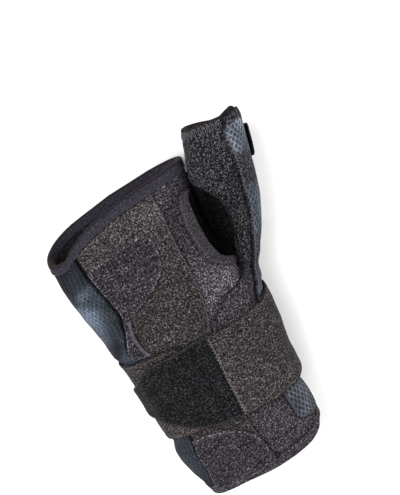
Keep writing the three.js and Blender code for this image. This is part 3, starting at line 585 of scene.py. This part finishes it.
# A line at a distance inside a piece's edge, as places (row, across)
def seamPath(spot, rails, inset, sides=("low", "start", "high")):
    parts = 60
    at = np.linspace(rails["at"][0], rails["at"][-1], parts * 3)
    low, high = rail(rails["at"], rails["start"], at), rail(rails["at"], rails["end"], at)
    runs = {
        "low": np.stack([np.full(parts, at[0]), np.linspace(high[0], low[0], parts)], 1),
        "start": np.stack([at, low], 1),
        "high": np.stack([np.full(parts, at[-1]), np.linspace(low[-1], high[-1], parts)], 1),
        "end": np.stack([at[::-1], high[::-1]], 1),
    }
    line = np.concatenate([runs[k] for k in ("low", "start", "high", "end") if k in sides])
    whole = np.concatenate([runs[k] for k in ("low", "start", "high", "end")])
    line = line[np.concatenate([[True], np.abs(np.diff(line, axis=0)).sum(1) > 1e-6])]
    here = spot(line[:, 0], line[:, 1], 0.0)
    perRow = np.linalg.norm(spot(line[:, 0] + 0.1, line[:, 1], 0.0) - here, axis=1) / 0.1
    perAcross = np.linalg.norm(spot(line[:, 0], line[:, 1] + 0.1, 0.0) - here, axis=1) / 0.1
    run = np.gradient(line, axis=0) * np.stack([perRow, perAcross], 1)
    run /= np.linalg.norm(run, axis=1, keepdims=True) + 1e-9
    inward = np.stack([-run[:, 1], run[:, 0]], 1)
    middle = np.array([at.mean(), ((low + high) / 2).mean()])
    toMiddle = (middle - line) * np.stack([perRow, perAcross], 1)
    if (inward * toMiddle).sum() < 0:
        inward = -inward
    moved = line + inward * inset / np.stack([perRow, perAcross], 1)
    rim = fine(spot(whole[:, 0], whole[:, 1], 0.0), 2)
    return moved[nearness(spot(moved[:, 0], moved[:, 1], 0.0), rim) > inset * 0.93]


# A row of separate stitches along a path: bent, six-sided threads whose ends go into the cloth
def stitch(name, spot, path, height, spec, thread):
    points = spot(path[:, 0], path[:, 1], np.full(len(path), height))
    outward = spot(path[:, 0], path[:, 1], np.full(len(path), height + 0.5)) - points
    run = np.concatenate([[0], np.cumsum(np.linalg.norm(np.diff(points, axis=0), axis=1))])
    pitch = spec["long"] + spec["gap"]
    first = np.arange(spec["gap"], run[-1] - spec["long"], pitch)

    def along(values, where):
        return np.stack([np.interp(where, run, values[:, k]) for k in range(3)], 1)

    a, b = along(points, first), along(points, first + spec["long"])
    up = along(outward, first + spec["long"] / 2)
    up /= np.linalg.norm(up, axis=1, keepdims=True)
    side = np.cross(up, b - a)
    side /= np.linalg.norm(side, axis=1, keepdims=True) + 1e-9
    if spec.get("swing"):  # zigzag, a little uneven where the spec says so
        uneven = 1 + spec.get("uneven", 0) * np.random.default_rng(len(a)).uniform(-1, 1, (len(a), 1))
        turn = np.where(np.arange(len(a)) % 2, 1, -1)[:, None] * uneven * spec["swing"] / 2
        a, b = a + side * turn, b - side * turn
    way = b - a
    way /= np.linalg.norm(way, axis=1, keepdims=True)
    side = np.cross(up, way)
    side /= np.linalg.norm(side, axis=1, keepdims=True)
    r, sides = spec["radius"], 6
    shares = np.array([0, 0.1, 0.5, 0.9, 1])
    girth = np.array([0.35, 0.9, 1, 0.9, 0.35]) * r
    lift = np.array([-0.7, 0.2, 0.75, 0.2, -0.7]) * r
    centre = a[:, None] + (b - a)[:, None] * shares[None, :, None] + up[:, None] * lift[None, :, None]
    turn = np.arange(sides) * 2 * math.pi / sides
    ring = (side[:, None, None] * np.cos(turn)[None, None, :, None]
            + up[:, None, None] * np.sin(turn)[None, None, :, None]) * girth[None, :, None, None]
    verts = (centre[:, :, None] + ring).reshape(-1, 3)
    count = len(a)
    base = np.arange(count)[:, None, None] * 5 * sides
    k, j = np.meshgrid(np.arange(4), np.arange(sides), indexing="ij")
    nextJ = (j + 1) % sides
    quad = np.stack([k * sides + j, k * sides + nextJ, (k + 1) * sides + nextJ, (k + 1) * sides + j], -1)
    quads = (quad[None] + base[..., None]).reshape(-1, 4)
    caps = [[c * 5 * sides + j for j in range(sides)][::-1] for c in range(count)]
    caps += [[c * 5 * sides + 4 * sides + j for j in range(sides)] for c in range(count)]
    piece = putMesh(name, verts, quads.tolist() + caps, [thread])
    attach(piece, "root")
    return piece


def onTube(lift):  # row s, across deg
    return lambda s, deg, off: tubePoint(tubeLength(s, deg), deg, lift + off)


def onTubeStraight(lift):
    return lambda s, deg, off: tubePoint(s, deg, lift + off)


def roundTube(lift):  # row deg, across y; lift is a function of the angle
    return lambda deg, y, off: tubePoint(y, deg, lift(deg) + off)


def onThumb(lift):  # row t, across deg; lift is a function of both
    return lambda t, deg, off: thumbPoint(thumbLength(t, deg), deg, lift(deg, t) + off)


bodyLow = tube["forearmEnd"] + 7 + cloth["endGap"]
bodyHigh = tube["palmEnd"] - 6.5 - cloth["endGap"]
tuck = cloth["endGap"] + 2.0  # how far the cloth runs on inside the binding at its end
ulnarLine = {
    "at": [bodyLow, -72, -54, -20, 2, 7, 12, 18, 26, 39, 55, bodyHigh],
    "deg": [142, 134.4, 133.4, 137, 137, 134.5, 130.7, 126.8, 123.5, 124.8, 126.7, 128],
}


seamInset = {"wrap": 0.3, "panel": 1.6, "tab": 2.2}  # degrees that each stops short of a seam
webSeam = {"at": [64, 67.5, bodyHigh], "deg": [11, 1, -2]}


def ulnarSeam(s):
    return rail(ulnarLine["at"], ulnarLine["deg"], s)


def radialEdge(wrap, s):  # past the web both cloths share one seam
    web = ease(63.99, 64.0, s)
    return rail(wrap["at"], wrap["radial"], s) * (1 - web) + rail(webSeam["at"], webSeam["deg"], s) * web


def railsOf(low, high, start, end, parts):
    at = np.linspace(low, high, parts)
    return {"at": at, "start": start(at), "end": end(at)}


palmWrap = {
    "thick": 3.0, "slot": "loop_cloth", "replaces": ["palm_wrap"],
    "at": [bodyLow, 12, 16, 18, 20.5, 24.5, 34, 43, 52, 58, 61, 62.5, 64, 67.5, bodyHigh],
    "radial": [14, 14, 19, 27, 34.5, 39.6, 41.5, 41.1, 39, 36, 30, 22, 11, 1, -2],
    "paleRow": 8, "paleRows": 13, "paleTurn": 44, "paleTurns": 26, "pale": 1.2, "dark": 0.35,
}


def palmTone(rows, shares):  # paler below the window, and painted shade darkens the web's corner
    deg = 14 + 105 * shares  # about where that share across lies round the tube
    pale = np.exp(-((rows - palmWrap["paleRow"]) / palmWrap["paleRows"]) ** 2
                  - ((deg - palmWrap["paleTurn"]) / palmWrap["paleTurns"]) ** 2)
    # painted shade in the web's corner
    beside = ease(26, 44, rows) * (1 - ease(0.2, 0.45, shares))
    return 1 + palmWrap["pale"] * pale - palmWrap["dark"] * beside


palmRails = railsOf(bodyLow - tuck, bodyHigh + tuck, lambda s: radialEdge(palmWrap, s) + seamInset["wrap"],
                    lambda s: ulnarSeam(s) - seamInset["wrap"], 160)
palmPiece = sew("palmWrap", onTube(-cloth["wall"]), palmRails, {**palmWrap, "tone": palmTone},
                greyLoop, fleeceLining)

backWrap = {
    "thick": 3.0, "slot": "patterned_mesh", "replaces": ["back_panel"],
    "at": [bodyLow, 12, 15, 19, 26, 43, 48, 53, 57, 61, 64, 67.5, bodyHigh],
    "radial": [14, 14, 4, -14, -22, -22, -18.4, -12, -5, 3.4, 11, 1, -2],
}


def printTone(rows, shares):  # where the print is dark and where pale along the ulnar side
    pale = ease(6, 14, rows) * (1 - ease(42, 52, rows))
    side = 0.25 + 1.1 * pale + 0.35 * ease(-56, -46, rows) * (1 - pale)
    seam = ease(0.974, 0.99, shares) * ease(12, 16, rows)  # the edge in the web is turned in
    return (side + (0.95 - side) * ease(0.12, 0.3, shares)) * (1 - 0.85 * seam)


backRails = railsOf(bodyLow - tuck, bodyHigh + tuck, lambda s: ulnarSeam(s) + seamInset["wrap"],
                    lambda s: radialEdge(backWrap, s) + 360 - seamInset["wrap"], 160)
backPiece = sew("backPanel", onTube(-cloth["wall"]), backRails, {**backWrap, "tone": printTone},
                printedMesh, fleeceLining)


binding = {
    "thick": 3.8, "slot": "binding", "step": 0.9, "soft": 1.0, "closed": True,
    "start": [-90, -90], "end": [270, 270], "palmWide": 6.5, "forearmWide": 7.0,
    "palmClimb": 1.75, "forearmClimb": 1.575, "forearmTurn": 20,  # climbs in mm, the turn in degrees
}


def overPanel(deg, inward):  # a binding climbs onto the palm panel at its inner side
    return ease(56, 64, deg) * (1 - ease(124, 130, deg)) * ease(0.25, 0.8, inward)


def palmClimb(rows, deg):
    return binding["palmClimb"] * overPanel(deg, (tube["palmEnd"] - rows) / binding["palmWide"])


def forearmClimb(rows, deg):
    turned = deg + binding["forearmTurn"] * (deg < 126)
    inward = (rows - tube["forearmEnd"]) / binding["forearmWide"]
    return binding["forearmClimb"] * overPanel(turned, inward)


rimSpot = onTube(-cloth["wall"] - cloth["rimProud"])
palmRim = {
    **binding, "replaces": ["palm_edge_binding"],
    "at": [tube["palmEnd"] - binding["palmWide"], tube["palmEnd"]],
    "relief": lambda rows, shares: palmClimb(rows, -90 + 360 * shares),
}
forearmRim = {
    **binding, "replaces": ["forearm_edge_binding"],
    "at": [tube["forearmEnd"], tube["forearmEnd"] + binding["forearmWide"]],
    "relief": lambda rows, shares: forearmClimb(rows, -90 + 360 * shares),
}
palmBinding = sew("palmEdgeBinding", rimSpot, palmRim, palmRim, edgeBinding)
forearmBinding = sew("forearmEdgeBinding", rimSpot, forearmRim, forearmRim, turnedLoop)
print("body cloth made")


palmPanel = {
    "thick": 1.5, "slot": "heather_loop", "replaces": ["palm_panel"],
    "at": [bodyLow, -64, -56, -12, -1, 5.5, 13, 26, 44, 53, 62, bodyHigh],
    "edge": [83, 83.1, 83, 78, 74, 71.2, 68.3, 65.4, 63.2, 62, 60.6, 62.6], "tuck": 1.8,
    # painted light: the panel is paler towards the palm end, where the light falls on it
    "tone": lambda rows, shares: 0.9 + 0.4 * ease(36, 66, rows),  # paler towards the palm end
}
panelRails = railsOf(bodyLow - palmPanel["tuck"], bodyHigh + palmPanel["tuck"],
                     lambda s: rail(palmPanel["at"], palmPanel["edge"], s),
                     lambda s: ulnarSeam(s) - seamInset["panel"], 120)
panelSpot = onTube(cloth["gap"])
panelPiece = sew("palmPanel", panelSpot, panelRails, palmPanel, heatherLoop)

windowHem = {
    "thick": 1.0, "slot": "loop_cloth", "replaces": ["window_hem"],
    "at": [14.5, 17, 20.5, 24.5, 34, 43, 52, 58, 62],
    "start": [21, 25, 35.3, 40.2, 42.1, 41.7, 39.7, 36.7, 29],
    "end": [33, 41, 47.7, 51, 53, 52.5, 50.5, 47.5, 44], "lift": 0.5,
}
hemSpot = onTube(windowHem["lift"])
hemPiece = sew("windowHem", hemSpot, windowHem, windowHem, hemBinding)

onPanel = 1.9  # the tabs press down to just above the panel, and their tops stay where the solids' are
palmTab = {
    "thick": 1.9, "slot": "loop_cloth", "replaces": ["palm_tab"],
    "at": [20.6, 23, 26.7, 30.3, 34.7, 40.8, 47, 52, 55, 56.7],
    "start": [115.5, 109, 97.2, 88.7, 81.3, 77.4, 76, 76.4, 79, 84],
}
palmTab["end"] = ulnarSeam(np.array(palmTab["at"])) - seamInset["tab"]
tabSpot = onTube(onPanel)
tabPiece = sew("palmTab", tabSpot, palmTab, palmTab, tabLoop)

edging = {
    "thick": 1.9, "slot": "binding", "replaces": ["edging_strip"],
    "at": [strapHigh + 5.4, 3, 9.5, 15.2, 20], "start": [120.5, 122.5, 122.9, 120.9, 118],
}
edging["end"] = ulnarSeam(np.array(edging["at"])) - seamInset["tab"]
edgingSpot = onTubeStraight(onPanel)
edgingPiece = sew("edgingStrip", edgingSpot, edging, edging, tabLoop)
edgingTape = {
    "thick": 0.6, "slot": "binding", "replaces": [], "step": 0.6, "at": edging["at"],
    "start": [a - 0.3 for a in edging["start"]], "end": [a + 1.9 for a in edging["start"]],
    "lift": 3.7,  # sunk 0.1 mm into the edging strip's top
}
tapePiece = sew("edgingTape", onTubeStraight(edgingTape["lift"]), edgingTape, edgingTape, edgingBinding)

forearmTab = {
    "thick": 1.9, "slot": "loop_cloth", "replaces": ["forearm_tab"],
    "at": [-91.5, -88.5, -84, -77, -70, -65.4, -61.4, -58.8, -57.2],
    "start": [100, 88, 84.4, 83.5, 85.5, 91, 98.8, 108, 118],
}
forearmTab["end"] = ulnarSeam(np.array(forearmTab["at"])) - seamInset["tab"]
forearmTabSpot = onTubeStraight(onPanel)
forearmTabPiece = sew("forearmTab", forearmTabSpot, forearmTab, forearmTab, tabLoop)
print("palm panel, hem and closures made")


loose = strapPlace["loose"]
wristStrap = {
    "thick": 1.4, "slot": "heather_loop", "replaces": ["wrist_strap"], "from": loose + 18 - 360,
    "slantAt": [-90, 0, 45, 84, 125, 150, 180, 270], "slant": [0, 0, -2.5, 0, 4.2, 3.6, 2.4, 0],
    "liftAt": [loose + 18 - 360, -222, -210, -62, -52, -43, -17, -8, 35, 43, loose - 18, loose - 9, loose],
    "lift": [2.3, 2.3, 0.6, 0.6, 1.4, 3.3, 3.3, 5.5, 5.5, 3.3, 3.3, 4.0, 4.0],
}
strapAt = np.linspace(wristStrap["from"], loose, 200)
strapSlant = rail(wristStrap["slantAt"], wristStrap["slant"], (strapAt + 90) % 360 - 90)
strapRails = {"at": strapAt, "start": strapLow + strapSlant, "end": strapHigh + strapSlant}
strapSpot = roundTube(lambda deg: rail(wristStrap["liftAt"], wristStrap["lift"], deg))
strapPiece = sew("wristStrap", strapSpot, strapRails, wristStrap, heatherLoop)

strapTab = {
    "thick": 1.2, "slot": "hook_tape", "replaces": ["strap_tab"],
    "at": [loose - 6, loose + 0.5, loose + 10, loose + 21, 115, 124, 130, 143, 159, 170, 177, 181],
    "start": [-56, -57.6, -56.4, -54.4, -52.2, -49, -46.4, -41.6, -38.4, -37, -34.6, -31.6],
    "end": [-9, -7.4, -7, -6.8, -6.8, -6.6, -7.6, -12.3, -17.6, -20.4, -23, -26],
    "liftAt": [loose - 6, loose + 10, loose + 17, 141, 152], "lift": [2.3, 2.3, 4.2, 4.2, 2.5],
}
strapTabSpot = roundTube(lambda deg: rail(strapTab["liftAt"], strapTab["lift"], deg))
strapTabPiece = sew("strapTab", strapTabSpot, strapTab, strapTab, blackHook)
print("strap made")


sleeve = {
    "thick": 2.4, "slot": "loop_cloth", "replaces": ["thumb_sleeve"],
    "at": [-36, -18, -9, -2.5, 2, 6.3, 7.6, 12, 16, 20, 26, 34, 45, 50, 54, 58, 61, 64, 67, 79,
           thumb["top"] - thumb["binding"] + 1.5],
    "start": [-66, -68, -69, -70, -70, -72, -73, -77, -83, -91, -104, -120, -140, -149, -157, -166, -173,
              -178.8, -179.4, -179.4, -179.4],
    "end": [97, 99, 98, 97, 95, 93, 76, 70, 72, 77, 80, 81, 89.5, 99, 110, 128, 150,
            174, 179.4, 179.4, 179.4],
}


# painted shade of the fold along the window
def sleeveTone(rows, shares):  # a darker fold along the window
    return 1 - 0.5 * ease(0.9, 0.95, shares) * ease(6, 12, rows) * (1 - ease(54, 62, rows))


def sleeveWing(rows, shares):  # the wing at the wrist is of the palm's cloth
    return 1 - ease(2, 14, rows)


sleeveSpot = onThumb(lambda deg, t: -cloth["thumbWall"])
sleevePiece = sew("thumbSleeve", sleeveSpot, sleeve, {
    **sleeve, "tone": sleeveTone, "blend": sleeveWing}, blueLoop, fleeceLining)

# The tape in the web, which joins the back panel's radial edge to the thumb sleeve's back edge
webTape = {
    "thick": 1.4, "slot": "binding", "replaces": [], "step": 0.8,
    "at": [18, 66], "start": [0, 0], "end": [1, 1],
    "backInset": 5.0, "sleeveInset": 7.0,  # degrees that it runs on inside each wall
    "slant": 3.4,  # mm that the palm end is cut back there
}


def webSpot(t, share, off):
    t, share, off = np.broadcast_arrays(
        np.asarray(t, float), np.asarray(share, float), np.asarray(off, float))

    def across(t):
        turn = rail(sleeve["at"], sleeve["start"], t) + webTape["sleeveInset"]
        far = thumbPoint(thumbLength(t, turn), turn, -cloth["thumbWall"] / 2)
        s = far[..., 1] + webTape["slant"] * ease(36, tube["palmEnd"], far[..., 1])
        near = tubePoint(far[..., 1], radialEdge(backWrap, s) - webTape["backInset"], -cloth["wall"] / 2)
        return near, far

    near, far = across(t)
    nearOn, farOn = across(t + 0.3)
    here = near + (far - near) * share[..., None]
    out = np.cross(nearOn - near + farOn - far, far - near)
    out /= np.linalg.norm(out, axis=-1, keepdims=True)
    return here + out * (off - webTape["thick"] / 2)[..., None]


webPiece = sew("webTape", webSpot, webTape, webTape, fleeceLining)

thumbRim = {
    "thick": cloth["thumbWall"] + 2 * cloth["rimProud"],
    "slot": "binding", "replaces": ["thumb_edge_binding"],
    "at": [thumb["top"] - thumb["binding"], thumb["top"]], "start": [-180, -180], "end": [180, 180],
    "closed": True, "soft": 1.0, "step": 0.9,
}
thumbRimSpot = onThumb(lambda deg, t: -cloth["thumbWall"] - cloth["rimProud"])
rimPiece = sew("thumbEdgeBinding", thumbRimSpot, thumbRim, thumbRim, overlockLoop)


def coverDark(rows):  # the two stretches of the stay's cover where the print is dark
    return ease(56, 60, rows) * (1 - ease(73, 77, rows)), ease(6, 11, rows) * (1 - ease(27, 33, rows))


def coverTone(rows, shares):
    high, low = coverDark(rows)
    # painted shade on the cover below the strap
    end = 1 - ease(-62, -56, rows)  # below the strap
    return 1.15 - 0.25 * high - 0.35 * low - 0.65 * end


def coverCloth(rows, shares):  # napped cloth shows there, and where the top is turned in with the sleeve
    high, low = coverDark(rows)
    return np.maximum(ease(89, 90.5, rows), 0.85 * high + 0.5 * low)


stayCover = {
    "thick": 1.2, "slot": "patterned_mesh", "replaces": ["thumb_stay_cover"],
    "tone": coverTone, "blend": coverCloth,
    "at": [-90.5, -88.5, -84, -70, -60, -50, -41, -36, -10, 4, 13, 23, 33, 50, 59, 67, 78, 87,
           thumb["top"] - 0.6],
    "start": [20, 12, 8, 6, 2, -8, -12, -12, -12, -16, -20, -24, -28, -32, -34, -34, -34, -34, -34],
    "end": [44, 58, 65, 63, 52, 38, 34, 33, 35, 40, 44, 47, 50, 56, 63, 66, 75, 84, 80],
}
stayOver = cloth["rimProud"] + cloth["gap"] + 0.1


def stayLift(deg, t):
    return stayOver - (cloth["thumbWall"] + stayOver) * (1 - ease(-49, -40, t))


staySpot = onThumb(stayLift)
stayPiece = sew("thumbStayCover", staySpot, stayCover, stayCover, coverMesh)

thumbTab = {
    "thick": 1.2, "slot": "hook_tape", "replaces": ["thumb_tab"],
    "at": [70, 72, 80, 89, 91], "start": [-92, -97, -99, -97, -92], "end": [-16, -12, -10, -11, -14],
    "over": 1.8, "curl": 1.6,
}
thumbTabSpot = onThumb(lambda deg, t: stayOver + thumbTab["over"] * ease(-52, -40, deg)
                       + thumbTab["curl"] * ease(-32, -12, deg))
thumbTabPiece = sew("thumbTab", thumbTabSpot, thumbTab, thumbTab, blackHook)
print("thumb cloth made")


lock = {"long": 1.9, "gap": 0.7, "radius": 0.15}  # lock stitch along a hem
zigzag = {"long": 0.9, "gap": 0.1, "radius": 0.17, "swing": 1.5}
overlock = {"long": 0.5, "gap": 0.75, "radius": 0.2, "swing": 4.2}
tabStitch = stitch("palmTabStitching", tabSpot, seamPath(tabSpot, palmTab, 1.5), palmTab["thick"], lock,
                   darkThread)
forearmStitch = stitch("forearmTabStitching", forearmTabSpot, seamPath(forearmTabSpot, forearmTab, 1.5),
                       forearmTab["thick"], lock, darkThread)
strapEnds = stitch("strapEndStitching", strapSpot, seamPath(strapSpot, strapRails, 1.1, ("high",)),
                   wristStrap["thick"], {**zigzag, "uneven": 0.6}, paleThread)
strapHems = stitch("strapHemStitching", strapSpot, seamPath(strapSpot, strapRails, 2.0, ("start",)),
                   wristStrap["thick"], lock, brownThread)
strapTops = stitch("strapTopStitching", strapSpot, seamPath(strapSpot, strapRails, 2.0, ("end",)),
                   wristStrap["thick"], lock, brownThread)
strapTabPath = seamPath(strapTabSpot, strapTab, 0.9, ("start", "high", "end"))
strapTabStitch = stitch("strapTabStitching", strapTabSpot, strapTabPath, strapTab["thick"], zigzag,
                        darkThread)
hemStitch = stitch("windowHemStitching", hemSpot, seamPath(hemSpot, windowHem, 1.3, ("end",)),
                   windowHem["thick"], lock, greyThread)
stayPath = seamPath(staySpot, stayCover, 1.3, ("start", "low", "end"))
stayStitch = stitch("stayCoverStitching", staySpot, stayPath, stayCover["thick"], zigzag, greyThread)
panelStitch = stitch("palmPanelStitching", panelSpot, seamPath(panelSpot, panelRails, 0.8, ("start",)),
                     palmPanel["thick"], {**zigzag, "swing": 1.0}, greyThread)


def straightPath(rows, turns, parts):  # between two rows and two angles
    return np.stack([np.linspace(*rows, parts), np.linspace(*turns, parts)], 1)


thumbHemLine = {"row": 92.3, "turns": (84, 179), "lift": 2.9}
thumbHemPath = straightPath([thumbHemLine["row"]] * 2, thumbHemLine["turns"], 200)
thumbHem = stitch("thumbHemStitching", sleeveSpot, thumbHemPath, thumbHemLine["lift"], overlock, greyThread)


def bindingSpot(s, deg, off):  # on the palm binding, where it climbs onto the panel too
    return rimSpot(s, deg, off + palmClimb(s, deg))


palmEdgeLine = {"inset": 4.9, "turns": (2, 200)}
palmEdgePath = straightPath([tube["palmEnd"] - palmEdgeLine["inset"]] * 2, palmEdgeLine["turns"], 300)
bindingStitch = stitch("palmEdgeStitching", bindingSpot, palmEdgePath, binding["thick"],
                       {**zigzag, "swing": 1.0}, darkThread)
forearmSeamLine = {"rows": (-87.5, -62), "turn": 69.0}
forearmSeamPath = straightPath(forearmSeamLine["rows"], [forearmSeamLine["turn"]] * 2, 60)
forearmSeam = stitch("forearmSeamStitching", onTube(0.0), forearmSeamPath, 0.0, lock, greyThread)
print("stitching made")


def paintedFloor():
    material, tree, shader = startMaterial("matt painted floor", 0.9, 0.0, 0.5)
    place = addNode(tree, "ShaderNodeTexCoord").outputs["Object"]
    grain = addNode(tree, "ShaderNodeTexNoise", {"Vector": place, "Scale": 40.0, "Detail": 3.0})
    body = addNode(tree, "ShaderNodeValToRGB", {"Fac": grain.outputs["Fac"]}, ramp=[
        (0.3, "#f3f3f2"), (0.7, "#f6f6f5")])
    tree.links.new(body.outputs["Color"], shader.inputs["Base Color"])
    return material


floorMesh = bpy.data.meshes.new("floor")
floorMesh.from_pydata([(-6, -6, 0), (6, -6, 0), (6, 6, 0), (-6, 6, 0)], [], [(0, 1, 2, 3)])
floorMesh.materials.append(paintedFloor())
floor = bpy.data.objects.new("floor", floorMesh)
bpy.context.scene.collection.objects.link(floor)

bpy.context.scene.view_settings.view_transform = "Standard"  # shows the hex colours as they are
world = bpy.data.worlds.new("studio")
bpy.context.scene.world = world
world.use_nodes = True
world.node_tree.nodes["Background"].inputs["Color"].default_value = linear("#ffffff")
world.node_tree.nodes["Background"].inputs["Strength"].default_value = 0.75

lamps = {  # place in metres, power in watts, size in metres
    "keyLight": ((-0.5, 0.55, 1.1), 16, 0.7),
    "sideLight": ((0.9, 0.2, 0.6), 5, 0.6),
    "lowLight": ((-0.2, -0.9, 0.7), 5, 0.6),
}
for name, (place, power, size) in lamps.items():
    data = bpy.data.lights.new(name, "AREA")
    data.energy, data.size = power, size
    lamp = bpy.data.objects.new(name, data)
    lamp.location = place
    lamp.rotation_euler = (Vector((0, 0.02, 0.02)) - Vector(place)).to_track_quat("-Z", "Y").to_euler()
    bpy.context.scene.collection.objects.link(lamp)

# Target and distance in metres, tilt from straight down and turn in degrees, lens in millimetres
view = {"target": (0.00962, 0.03139, 0.024), "distance": 0.9, "tilt": 15, "turn": 31, "lens": 121.2}
tilt, turn = math.radians(view["tilt"]), math.radians(view["turn"])
back = Vector((0, math.sin(tilt), math.cos(tilt)))
level, upright = Vector((1, 0, 0)), Vector((0, math.cos(tilt), -math.sin(tilt)))
right = level * math.cos(turn) - upright * math.sin(turn)
up = level * math.sin(turn) + upright * math.cos(turn)
camera = bpy.data.objects.new("camera", bpy.data.cameras.new("camera"))
camera.data.lens = view["lens"]
camera.data.sensor_width = 36
camera.matrix_world = Matrix.Translation(Vector(view["target"]) + back * view["distance"]) @ Matrix(
    (right, up, back)).transposed().to_4x4()
bpy.context.scene.collection.objects.link(camera)
bpy.context.scene.camera = camera
bpy.context.view_layer.update()
print("stage made")
